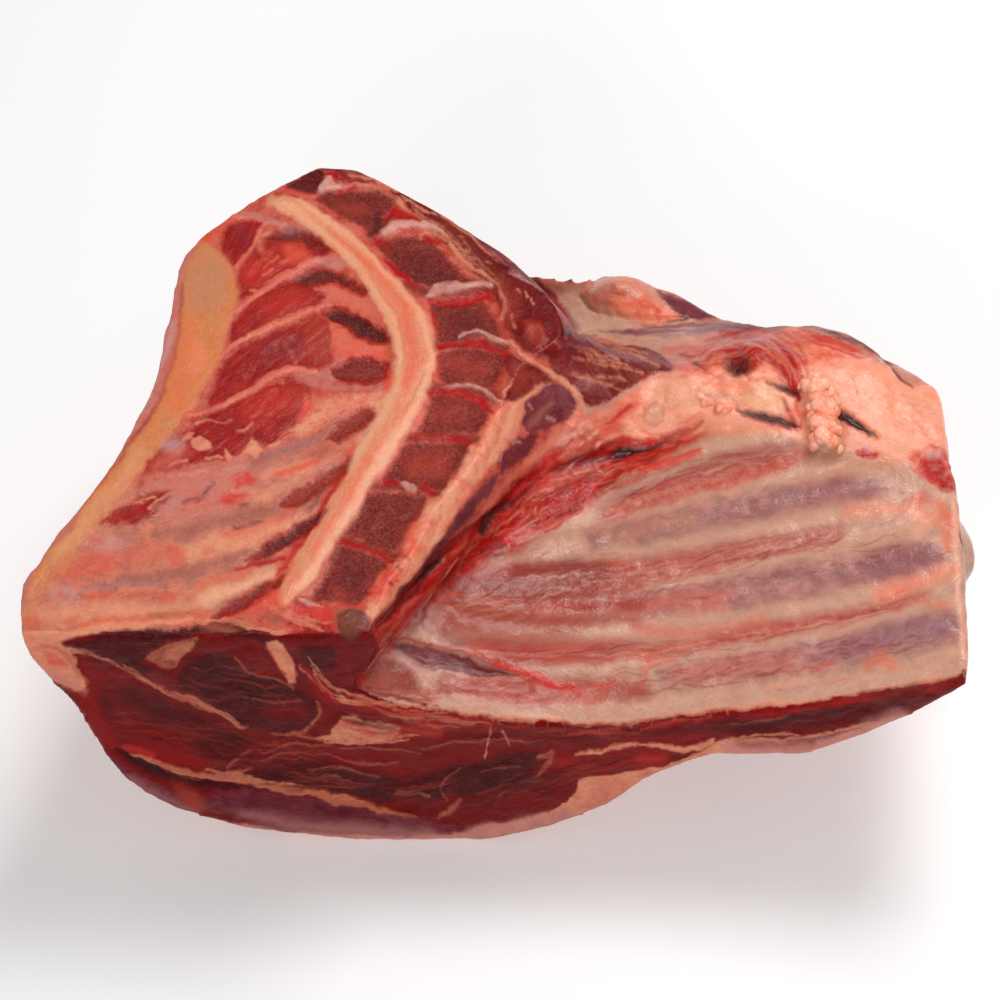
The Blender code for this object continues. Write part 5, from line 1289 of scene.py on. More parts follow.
    # Painted shade: near-black inside the sunken cavity.
    glaze("darkest", 5, 0.8, cavity)
    glaze("crimson", 4, 0.7, [(730, 350), (742, 341), (758, 340), (772, 350), (788, 366), (794, 384)], 8)
    ink("blood", [(680, 354, 2), (690, 358, 5), (698, 364, 6), (704, 370, 3)], crisp=0.9, cap=6)
    ink("black", [(692, 361, 2), (696, 364, 3), (699, 367, 1)], crisp=0.9, cap=0.6)
    tint("rose", 6, 0.8, [(700, 338, 4), (724, 332, 7), (750, 330, 6), (776, 334, 4)])
    blood_way = [(690, 360), (716, 350), (744, 340), (770, 346), (790, 366), (794, 392)]
    wall.ink_strands("blood", 0.9, 5.0, blood_way, 17, 80, 3.0, 28)
    wall.glaze_strands("crimson", 2.0, 0.6, blood_way, 14, 30, 4.0, 32)
    wall.glaze_strands("peach", 1.6, 0.5, blood_way, 12, 16, 2.2, 33)
    wall.ink_strands("fat", 0.9, 0.8, [(736, 352), (756, 350), (780, 364), (790, 384)], 10, 12, 1.6, 29)
    # Painted glints on the blood.
    for line in ([(732, 360), (736, 354)], [(734, 366), (739, 360)], [(782, 366), (790, 364)],
                 [(786, 370), (792, 369)], [(770, 358), (776, 360)], [(756, 350), (764, 350)]):
        ink("gristle_and_glint", line, 1.4, 0.9, 1.0)
    wall.moisten(8, [(724, 346), (790, 350), (798, 384), (740, 376)])
    lift(-2.0, 7, cavity)
    # Painted shade in three gaps between the lumps: black, with plum, dark and violet beside it.
    for gap in ([(768, 382, 1), (776, 384, 3), (786, 389, 6), (794, 394, 7), (798, 398, 4)],
                [(737, 409, 2), (750, 411, 5), (768, 415, 6), (786, 420, 6), (800, 424, 3)],
                [(832, 411, 3), (842, 415, 7), (854, 422, 7), (866, 430, 5), (876, 438, 1)]):
        ink("black", gap, crisp=1.0, cap=4.0)
        lift(-1.3, 3, gap)
    ink("plum", [(742, 413, 2), (766, 419, 6), (790, 426, 5)], crisp=0.9)
    ink("dark", [(834, 413, 3), (850, 422, 8), (868, 434, 5)], crisp=0.7)
    glaze("lining_violet", 4, 0.5, [(750, 417), (776, 424)], 3)
    # Painted shadow under the lobules.
    glaze("lilac", 4, 0.6, [(830, 432), (848, 438), (868, 446)], 4)
    for x, y, size in ((806, 386, 13), (824, 382, 15), (832, 392, 11), (812, 400, 12), (820, 410, 19),
                       (808, 414, 13), (828, 416, 13), (808, 430, 15), (820, 434, 15), (814, 442, 12)):
        tint("white_fat", 3.5, 0.9, [(x - 1, y), (x + 1, y)], size, "peach")
    ink("blood", [(784, 398, 3), (789, 408, 6), (794, 418, 5), (798, 430, 3)], crisp=0.9, cap=4)
    glaze("rose", 3, 0.7, [(796, 396), (800, 410), (803, 426)], 5)
    # The bare red patch at the right end, with torn white strands across it.
    patch = [(906, 457), (918, 450), (931, 444), (942, 448), (952, 462), (954, 490), (940, 490), (930, 484),
             (918, 477), (910, 468)]
    ink("rose", patch, crisp=1.0, cap=8)
    ink("blood", [(918, 460), (936, 456), (946, 468), (940, 482), (926, 478)], crisp=0.9, cap=4)
    ink("blood", [(936, 480), (950, 474), (954, 490), (938, 491)], crisp=0.8, cap=3)
    glaze("silver", 4, 0.5, [(922, 452), (938, 450), (940, 456), (926, 459)])
    wall.ink_strands("fat", 1.0, 1.0, [(908, 452), (920, 466), (934, 478), (948, 486)], 8, 12, 1.6, 30)
    wall.ink_strands("gristle_and_glint", 0.9, 0.6, [(930, 444), (940, 460), (950, 480)], 8, 8, 1.4, 31)
    wall.moisten(8, patch)
    ink("blood", [(858, 451, 4), (866, 453, 8), (874, 455, 4)], crisp=1.2, cap=6)
    glaze("crimson", 3, 0.7, [(860, 452), (872, 454)], 4)
    wall.moisten(6, [(882, 462), (896, 470), (904, 484)], 12)
    tint("coral", 6, 0.6, [(906, 500), (922, 492), (934, 502), (918, 506)])
    tint("orange", 6, 0.7, [(940, 505), (948, 520), (948, 548)], 11)
    tint("white_fat", 6, 0.7, [(912, 512), (926, 520), (918, 532)], 10)
    # Painted glints: small pale specks on the fat, the red patch and the ribs.
    for x, y in ((906, 518), (910, 514), (924, 506), (932, 506), (882, 486), (888, 488), (876, 464),
                 (882, 460), (918, 600), (926, 598), (906, 604), (932, 602), (694, 626), (684, 628),
                 (896, 474), (890, 470)):
        ink("gristle_and_glint", [(x, y), (x + 3, y - 2)], 1.5, 0.9, 1)
    tint("orange", 7, 0.5, [(890, 604), (920, 600), (946, 606)], 9)
    # The rim where the breast was sawn off.
    rim = [(944, 386), (949, 440), (954, 500), (957, 560), (958, 600), (964, 650), (966, 664)]
    tint("white_fat", 3, 0.7, rim, 5)


# ---------------------------------------------------------------- the cross cut behind the ribs

FRAYED_EDGE = [(340, 700), (400, 704), (440, 708), (477, 714), (520, 719), (580, 722), (626, 721),
               (675, 715), (708, 710), (750, 705), (805, 701), (870, 691), (930, 681), (962, 672)]


def paint_frayed_edge(canvas):
    """The torn edge of the ribs' lining, with fine fibres and blood under it."""
    ink = canvas.ink
    canvas.tint("lining_pale", 2, 1.0,
                FRAYED_EDGE[2:] + [(x, y - 16) for x, y in reversed(FRAYED_EDGE[2:])])
    canvas.tint("wine_light", 4, 0.6, [(x, y + 7) for x, y in FRAYED_EDGE], 9, "wine")
    ink("fat", FRAYED_EDGE, 2.0, 1.0, 1.5)
    canvas.lift(0.4, 3, FRAYED_EDGE, 3.0)
    canvas.ink_strands("fat", 1.0, 1.5, FRAYED_EDGE, 3, 100, 1.5, 51)
    canvas.ink_strands("blood", 0.9, 3.0, [(x, y + 7) for x, y in FRAYED_EDGE], 4, 60, 2.2, 153)
    chance = np.random.default_rng(54)
    for x in chance.uniform(430, 730, 46):
        y = float(np.interp(x, [point[0] for point in FRAYED_EDGE], [point[1] for point in FRAYED_EDGE]))
        reach = chance.uniform(2.0, 8.0)
        lean = chance.uniform(-3.0, 3.0)
        ink("fat", [(x, y, 1.4), (x + lean * 0.6, y + reach * 0.6, 1.0), (x + lean, y + reach, 0.4)],
            crisp=1.2, cap=1.5)


def paint_cross_cut(cut):
    """The cut across the shoulder: muscles with seams of fat, the blade's edge and the fat cover."""
    tint, glaze, ink, lift = cut.tint, cut.glaze, cut.ink, cut.lift
    cut.grain(-14)
    cut.grain(4, [(300, 700), (960, 660), (960, 760), (600, 800), (300, 830)])
    cut.grain(-52, [(30, 640), (70, 650), (100, 700), (130, 760), (90, 740), (70, 690)])
    tint("wine", 6, 1.0, [(0, 600), (1000, 600), (1000, 900), (0, 900)], blots="brick")
    for colour, soft, strength, shape in (
            ("wine_light", 10, 0.8, [(78, 660), (96, 690), (112, 730), (124, 760), (108, 752), (90, 720),
                                     (76, 686)]),
            ("darkest", 12, 0.75, [(100, 700), (140, 690), (180, 706), (230, 730), (250, 744), (170, 730),
                                   (116, 720)]),
            ("brick", 14, 0.9, [(112, 700), (160, 720), (220, 736), (240, 756), (180, 760), (130, 745)]),
            ("wine_light", 9, 0.8, [(130, 742), (170, 750), (210, 766), (170, 768), (136, 756)]),
            ("darkest", 12, 0.6, [(196, 740), (236, 744), (230, 762), (204, 758)]),
            ("brick", 12, 0.9, [(250, 742), (330, 748), (400, 752), (480, 742), (560, 738), (640, 736),
                                (560, 748), (430, 764), (330, 764), (262, 760)]),
            ("brick", 9, 0.85, [(340, 700), (400, 712), (470, 728), (560, 730), (640, 724), (700, 712),
                                (640, 736), (560, 742), (470, 742), (390, 726), (350, 716)]),
            ("dark", 8, 0.8, [(560, 736), (640, 730), (720, 724), (700, 734), (640, 740)]),
            ("wine_light", 8, 0.8, [(600, 742), (660, 736), (710, 730), (700, 742), (640, 748)]),
            ("darkest", 9, 0.7, [(706, 726), (770, 718), (850, 708), (930, 694), (880, 714), (800, 728),
                                 (730, 732)]),
            ("wine_light", 6, 0.7, [(700, 712), (760, 708), (850, 700), (930, 688)])):
        tint(colour, soft, strength, shape)
    tint("scarlet", 4, 0.6, [(124, 747), (138, 752), (152, 757)], 5)
    # Muscles.
    for name, crisp, shape in (
            ("dark", 0.9, [(64, 645), (84, 640), (106, 635), (136, 630), (170, 629), (200, 630), (186, 636),
                           (166, 640), (152, 650), (142, 658), (152, 668), (146, 674), (122, 664),
                           (100, 654), (80, 648)]),
            ("dark", 0.9, [(176, 684), (182, 670), (194, 658), (210, 652), (228, 653), (244, 660),
                           (256, 672), (276, 680), (296, 687), (308, 694), (317, 702), (318, 714),
                           (308, 724), (294, 731), (272, 731), (250, 727), (230, 718), (212, 706),
                           (200, 699), (186, 692)]),
            ("brick", 0.9, [(234, 652), (246, 648), (262, 654), (273, 662), (274, 671), (262, 674),
                            (248, 670), (238, 662)]),
            ("dark", 0.8, [(300, 646), (320, 645), (338, 650), (336, 664), (322, 672), (306, 668),
                           (300, 658)]),
            ("brick", 0.8, [(206, 640), (220, 642), (232, 648), (222, 652), (208, 650)]),
            ("dark", 0.6, [(240, 776), (260, 768), (290, 764), (332, 765), (372, 770), (398, 778),
                           (404, 786), (392, 800), (350, 798), (300, 790), (260, 784)]),
            ("dark", 0.7, [(400, 790), (420, 778), (440, 768), (462, 766), (452, 782), (440, 800),
                           (420, 800)]),
            ("dark", 0.6, [(452, 770), (480, 760), (514, 752), (538, 752), (530, 772), (510, 784),
                           (480, 792), (452, 796)]),
            ("brick", 0.7, [(540, 762), (556, 752), (590, 752), (580, 780), (566, 800), (540, 812),
                            (500, 820), (462, 820), (444, 806), (470, 796), (510, 786), (532, 776)]),
            ("brick", 0.8, [(570, 754), (600, 750), (640, 752), (666, 757), (650, 768), (600, 773),
                            (576, 778)]),
            ("brick", 0.8, [(44, 656), (58, 652), (70, 664), (84, 684), (70, 680), (56, 670)]),
            ("brick", 0.8, [(330, 722), (346, 720), (352, 730), (334, 736), (322, 736)]),
            ("brick", 0.8, [(600, 735), (650, 731), (640, 736), (604, 738)])):
        ink(name, shape, crisp=crisp)
        lift(0.5, 9, shape)
    glaze("meat", 10, 0.5, [(560, 760), (610, 762), (650, 758)], 12)
    glaze("scarlet", 7, 0.5, [(640, 758), (664, 757)], 8)
    glaze("darkest", 12, 0.5, [(200, 666), (236, 664), (262, 690), (230, 700)])
    glaze("wine_light", 9, 0.4, [(262, 700), (300, 700), (306, 716), (270, 720)])
    glaze("darkest", 10, 0.5, [(450, 776), (490, 764), (520, 762), (500, 780)])
    low = [(204, 800, 8), (230, 798, 20), (270, 806, 28), (320, 814, 28), (380, 822, 24), (430, 828, 16),
           (454, 826, 8)]
    ink("plum", low, crisp=0.7)
    glaze("dark", 8, 0.5, [(226, 796, 6), (290, 800, 12), (350, 808, 12), (400, 816, 6)])
    # Painted lilac sheen along the low muscle's lower edge.
    glaze("lilac", 8, 0.5, [(240, 812, 4), (300, 822, 12), (360, 828, 14), (430, 832, 8)])
    lift(1.2, 12, low)
    low_left = [(104, 750), (120, 764), (150, 782), (190, 800), (204, 810), (180, 806), (150, 792),
                (120, 772)]
    ink("plum", low_left, crisp=0.7)
    # Painted lilac sheen on it.
    glaze("lilac", 6, 0.45, [(130, 780), (160, 796), (196, 812)], 5)
    glaze("rust", 8, 0.6, [(176, 786), (196, 792), (204, 806), (190, 808)])
    # Fat between the muscles.
    ink("seam", [(144, 657), (158, 648), (177, 641), (199, 637), (192, 648), (182, 656), (176, 668),
                 (165, 668), (152, 662)])
    ink("fat", [(164, 652), (178, 646), (192, 642), (186, 650), (176, 659), (167, 660)], crisp=0.8, cap=0.4)
    cut.ink_strands("dark", 1.0, 2.0, [(146, 656), (170, 652), (196, 644)], 7, 9, 2.6, 74)
    cut.ink_strands("rose", 1.0, 1.0, [(268, 646), (280, 658), (290, 680)], 5, 7, 2.6, 75)
    ink("fat", [(266, 643), (277, 641), (286, 650), (294, 666), (295, 682), (287, 684), (281, 672),
                (273, 658)], crisp=0.9, cap=2)
    ink("fat", [(328, 741), (330, 732), (341, 718), (352, 715), (364, 722), (386, 724), (402, 730),
                (390, 740), (360, 742)], crisp=0.9, cap=0.8)
    cut.ink_strands("rose", 1.0, 2.0, [(340, 720), (356, 728), (384, 732)], 5, 10, 3.0, 58)
    cut.ink_strands("fat", 1.0, 2.0, [(300, 734), (330, 740), (380, 742), (420, 738)], 4, 12, 2.4, 59)
    glaze("scarlet", 6, 0.5, [(390, 734), (420, 730), (440, 732)], 8)
    wide = [(78, 649, 2), (96, 656, 2), (114, 663, 3), (140, 677, 3), (162, 688, 4), (180, 696, 7),
            (200, 704, 10), (216, 711, 6), (232, 719, 3), (246, 726, 1)]
    ink("seam", wide)
    cut.ink_strands("fat", 1.0, 1.0, wide, 5, 14, 1.8, 60)
    for seam in ([(42, 645, 3), (58, 647, 6), (70, 658, 6), (80, 672, 5), (88, 684, 3)],
                 [(316, 700, 3), (320, 712, 5), (312, 724, 5), (300, 732, 5), (284, 734, 3)],
                 [(270, 734, 2), (300, 735, 4), (320, 738, 3)], [(236, 655, 2), (250, 672, 2),
                                                                 (270, 678, 2), (292, 687, 3)],
                                                                 [(240, 694, 1), (262, 697, 3),
                                                                  (284, 702, 2), (300, 697, 1)],
                                                                  [(574, 753, 2), (590, 750, 5),
                                                                   (616, 747, 5), (634, 746, 3)],
                                                                   [(634, 744, 2), (660, 744, 7),
                                                                    (690, 748, 8), (714, 742, 8)],
                                                                    [(538, 757, 7), (552, 752, 6),
                                                                     (544, 766, 5), (532, 777, 4),
                                                                     (518, 781, 2)],
                                                                     [(776, 742, 3), (806, 738, 3),
                                                                      (840, 730, 3), (880, 722, 2),
                                                                      (906, 712, 1)],
                                                                      [(724, 742, 1), (760, 734, 3),
                                                                       (800, 736, 2)],
                                                                       [(446, 800, 2), (440, 788, 3),
                                                                        (448, 776, 2), (462, 768, 1)],
                                                                        [(436, 818, 2), (450, 808, 7),
                                                                         (460, 800, 4)],
                                                                         [(400, 790, 6), (416, 792, 7),
                                                                          (428, 796, 4)],
                                                                          [(496, 800, 1), (504, 790, 3),
                                                                           (512, 784, 1)],
                                                                           [(226, 768, 2), (240, 756, 4),
                                                                            (252, 748, 2)],
                                                                            [(216, 772, 5), (236, 774, 5),
                                                                             (250, 768, 2)]):
        thin = [(x, y, 0.7 * width) for x, y, width in seam]
        ink("fat" if seam[0][0] > 560 and seam[0][1] > 740 else "seam", thin)
        lift(0.3, 4, thin)
    for start, end, bend in (((250, 762), (330, 754), 4), ((330, 757), (400, 762), -3),
                             ((340, 748), (420, 754), 3), ((262, 752), (330, 744), 3),
                             ((420, 748), (490, 742), 3), ((470, 738), (560, 740), -2),
                             ((560, 734), (640, 732), 2), ((360, 704), (430, 720), -3),
                             ((380, 712), (440, 728), -2), ((430, 712), (500, 722), 2),
                             ((640, 730), (710, 716), 2), ((310, 768), (380, 774), 3),
                             ((320, 776), (352, 780), 2), ((480, 770), (520, 764), 2),
                             ((560, 726), (620, 728), 2), ((730, 724), (790, 716), 2)):
        middle = ((start[0] + end[0]) / 2, (start[1] + end[1]) / 2 - bend)
        ink("seam", [(*start, 0.4), (*middle, 1.6), (*end, 0.3)], crisp=1.0, cap=0.6)
        lift(0.3, 3, [start, middle, end], 2.0)
    for number, (spine, spread, count) in enumerate((
            ([(70, 650), (120, 664), (160, 680), (200, 698)], 12, 18),
            ([(190, 680), (240, 682), (300, 700)], 22, 44),
            ([(110, 716), (180, 734), (260, 752), (330, 758)], 22, 60),
            ([(340, 716), (430, 728), (520, 734), (640, 728)], 12, 50),
            ([(250, 776), (330, 782), (400, 790), (460, 784)], 14, 40),
            ([(460, 800), (530, 780), (600, 764), (660, 758)], 18, 50),
            ([(700, 722), (800, 716), (930, 692)], 9, 40))):
        cut.glaze_strands("darkest", 1.6, 0.45, spine, spread, count, 2.4, 90 + number)
        cut.glaze_strands("rust", 1.3, 0.25, spine, spread, count // 2, 1.3, 100 + number)
    blade = [(130, 755, 2), (149, 761, 5), (174, 768, 6), (198, 773, 6), (236, 778, 5), (288, 787, 6),
             (330, 796, 6), (370, 804, 6), (396, 812, 4), (416, 816, 2)]
    ink("seam", blade)
    cut.ink_strands("fat", 1.0, 0.8, blade, 5, 26, 1.8, 69)
    glaze("orange", 4, 0.35, [(230, 780, 2), (290, 788, 4), (350, 798, 4), (390, 809, 2)])
    lift(0.6, 4, blade)
    # Painted shade: a black slot under the blade's edge, sunk a little.
    slot = [(114, 750, 2), (132, 761, 7), (152, 772, 8), (176, 781, 6), (204, 785, 5), (240, 787, 3),
            (268, 790, 1)]
    ink("black", slot, crisp=0.8)
    lift(-1.6, 5, slot)
    # Fine torn fibres near the bone's end.
    cut.ink_strands("fat", 1.0, 1.0, [(300, 664), (312, 676), (326, 690), (336, 700)], 10, 16, 1.5, 55)
    cut.ink_strands("blood", 0.9, 2.0, [(296, 664), (316, 680), (340, 704)], 10, 10, 2.4, 56)
    # Fat cover along the outside.
    ink("fat", [(580, 779), (612, 774), (646, 770), (682, 758), (712, 746), (728, 742), (724, 757),
                (690, 767), (652, 780), (612, 800), (590, 815), (576, 823), (556, 828), (548, 818),
                (566, 802), (576, 790)])
    glaze("cover_pink", 8, 0.5, [(560, 820), (600, 800), (650, 776)], 8)
    cover = [(198, 819, 2), (250, 828, 4), (320, 836, 7), (390, 840, 9), (450, 838, 11), (500, 830, 14),
             (550, 822, 14), (580, 815, 10)]
    ink("fat", cover, crisp=0.6)
    glaze("lilac", 6, 0.75, cover)
    ink("fat", [(722, 742), (760, 738), (806, 744), (850, 732), (890, 720), (906, 713), (870, 738),
                (806, 756), (760, 762), (722, 756)], crisp=0.8)
    glaze("lilac", 6, 0.7, [(730, 748), (790, 748), (850, 738), (900, 716)], 14)
    glaze("brick", 5, 0.6, [(740, 742), (780, 746), (812, 742)], 5)
    glaze("edge_pink", 4, 0.6, [(20, 646), (40, 664), (64, 678), (84, 692)], 5)
    # Torn layers under the lining's left end.
    layers = [(334, 692), (360, 702), (400, 714), (450, 722), (500, 728)]
    cut.ink_strands("fat", 1.0, 1.0, layers, 8, 24, 1.7, 52)
    cut.ink_strands("blood", 0.9, 2.0, layers, 8, 20, 2.6, 57)
    ink("fat", [(490, 727, 1.6), (487, 740, 1.4), (485, 757, 0.6)], crisp=1.2, cap=2)
    ink("fat", [(503, 731, 1.4), (508, 742, 1.2), (510, 748, 0.5)], crisp=1.2, cap=2)
    # The rounded flap at the left end, and the fat along the rear edge.
    tint("cream", 2, 1.0, [(12, 646), (40, 646), (76, 637), (110, 630), (150, 626), (200, 622), (200, 608),
                           (110, 612), (12, 624)], blots="pale")
    flap = [(14, 630), (40, 636), (62, 642), (76, 660), (86, 686), (72, 690), (50, 678), (28, 664),
            (16, 650)]
    ink("fat", flap, crisp=1.0, cap=4)
    glaze("edge_pink", 6, 0.7, [(24, 656), (44, 670), (70, 684)], 9)
    ink("rose", [(45, 650), (58, 654), (68, 664), (60, 668), (50, 662)], crisp=0.8, cap=1.0)
    cut.ink_strands("fat", 1.0, 2.0, [(58, 646), (84, 652), (110, 662)], 4, 8, 2.0, 70)
    paint_frayed_edge(cut)
    tint("bone_grey", 4, 0.9, [(340, 614), (360, 612), (366, 626), (352, 640), (338, 632)])
    ink("dark", [(214, 628), (240, 632), (262, 640)], 7, 0.8)
    ink("dark", [(262, 640), (276, 646), (268, 650)], 7, 0.7)


# ---------------------------------------------------------------- the sides that face away

RIB_ENDS = [(-17, 98), (-44, 97), (-75, 96), (-95, 95)]


def finish_outside(skin, front):
    """Fat cover, muscle and cut edges where the camera doesn't reach."""
    away = 1.0 - front
    place = skin.place
    cover = rough(place, 34.0, 11)
    fine = rough(place, 9.0, 21)
    share = smooth_step(-0.35, 0.5, cover + 0.3 * fine)[:, None]
    skin.ground[:] = (1 - share) * linear("cover_pink") + share * linear("cover")
    film = smooth_step(0.1, 0.6, rough(place, 26.0, 31))[:, None] * 0.5
    skin.ground[:] = (1 - film) * skin.ground + film * linear("white_fat")
    skin.blots[:] = skin.ground * REDDER
    bare = rough(place, 58.0, 41) + 0.18 * fine
    skin.inks["plum"] = np.maximum(skin.inks["plum"], (bare - 0.16) * 60.0 - FRONT_FADE * front)
    thin = (0.035 - np.abs(rough(place, 30.0, 51))) * 70.0 - FRONT_FADE * front
    skin.inks["fat"] = np.maximum(skin.inks["fat"], thin)
    skin.relief += away * (0.9 * cover + 0.35 * fine)
    # The neck's cut: muscles round a bone, with seams of fat.
    slant = skin.normal @ np.array([-0.7, 0.7, 0.0])
    neck = (slant > 0.75) & (place[:, 0] < -55) & (place[:, 0] > -125) & (place[:, 1] > 40)
    level = np.where(neck, 10.0 - FRONT_FADE * front, OUTSIDE)
    skin.inks["meat"] = np.maximum(skin.inks["meat"], level)
    ribbons = (0.05 - np.abs(rough(place, 17.0, 61, 2))) * 60.0
    skin.inks["fat"] = np.maximum(skin.inks["fat"], np.where(neck, ribbons - FRONT_FADE * front, OUTSIDE))
    # The sawn ends of the ribs along the breast.
    side = (skin.normal[:, 0] > 0.55) & (place[:, 0] > 120) & (place[:, 2] > 55)
    skin.inks["meat"] = np.maximum(skin.inks["meat"], np.where(side, 6.0 - FRONT_FADE * front, OUTSIDE))
    for y, z in RIB_ENDS:
        gap = np.hypot((place[:, 1] - y) / 1.7, place[:, 2] - z)
        ring = np.where(side, (5.2 - gap) * 3.0, OUTSIDE)
        skin.inks["fat"] = np.maximum(skin.inks["fat"], ring)
        skin.inks["marrow"] = np.maximum(skin.inks["marrow"], np.where(side, (3.6 - gap) * 3.0, OUTSIDE))
    # The foreleg's knuckle.
    leg = (place[:, 0] > 138) & (place[:, 2] < 56)
    skin.ground[leg] = 0.4 * skin.ground[leg] + 0.6 * linear("gristle_and_glint")
    skin.blots[leg] = skin.ground[leg] * REDDER
    skin.inks["plum"] = np.where(leg, OUTSIDE, skin.inks["plum"])


# ---------------------------------------------------------------- the material

def new_node(tree, kind, **values):
    """A shader node with its settings and the values of its named sockets."""
    node = tree.nodes.new(kind)
    for key, value in values.items():
        if key.startswith("at_"):
            node.inputs[key[3:].replace("_", " ")].default_value = value
        else:
            setattr(node, key, value)
    return node


def attribute(tree, name):
    """A value painted on the skin."""
    return new_node(tree, "ShaderNodeAttribute", attribute_name=name)


def math_node(tree, operation, first, second=None, third=None):
    """The result of a sum on sockets or plain numbers."""
    node = tree.nodes.new("ShaderNodeMath")
    node.operation = operation
    for socket, value in zip(node.inputs, (first, second, third)):
        if value is None:
            continue
        if isinstance(value, (int, float)):
            socket.default_value = value
        else:
            tree.links.new(value, socket)
    return node.outputs[0]


def blended(tree, share, first, second, blend="MIX"):
    """A mix of two colours by a share."""
    node = tree.nodes.new("ShaderNodeMix")
    node.data_type = "RGBA"
    node.blend_type = blend
    for socket, value in ((node.inputs[0], share), (node.inputs[6], first), (node.inputs[7], second)):
        if isinstance(value, (int, float)):
            socket.default_value = value
        elif isinstance(value, (tuple, np.ndarray)):
            socket.default_value = (*value[:3], 1.0)
        else:
            tree.links.new(value, socket)
    return node.outputs[2]


def noise(tree, vector, scale, detail=3.0, roughness=0.55, distortion=0.0):
    """A noise texture's value from 0 to 1."""
    node = new_node(tree, "ShaderNodeTexNoise", at_Scale=scale, at_Detail=detail,
                    at_Roughness=roughness, at_Distortion=distortion)
    tree.links.new(vector, node.inputs["Vector"])
    return node.outputs[0]


def band(tree, low, high, value):
    """A share that rises smoothly between two values."""
    node = new_node(tree, "ShaderNodeMapRange", interpolation_type="SMOOTHSTEP",
                    at_From_Min=low, at_From_Max=high)
    tree.links.new(value, node.inputs["Value"])
    return node.outputs[0]


def centred(tree, value):
    """A noise value moved from 0..1 to -1..1."""
    return math_node(tree, "MULTIPLY_ADD", value, 2.0, -1.0)


FIBROUS = ("meat", "dark", "plum", "brick", "stripe", "cord")
# Lumps per metre of the material's noises.
BLOTS = 150.0
SPOTS = 380.0
SPECKS = 900.0
PORES = 1300.0
# Lumps per millimetre across the fibres.
FIBRES = 1.7
THREADS = 2.6


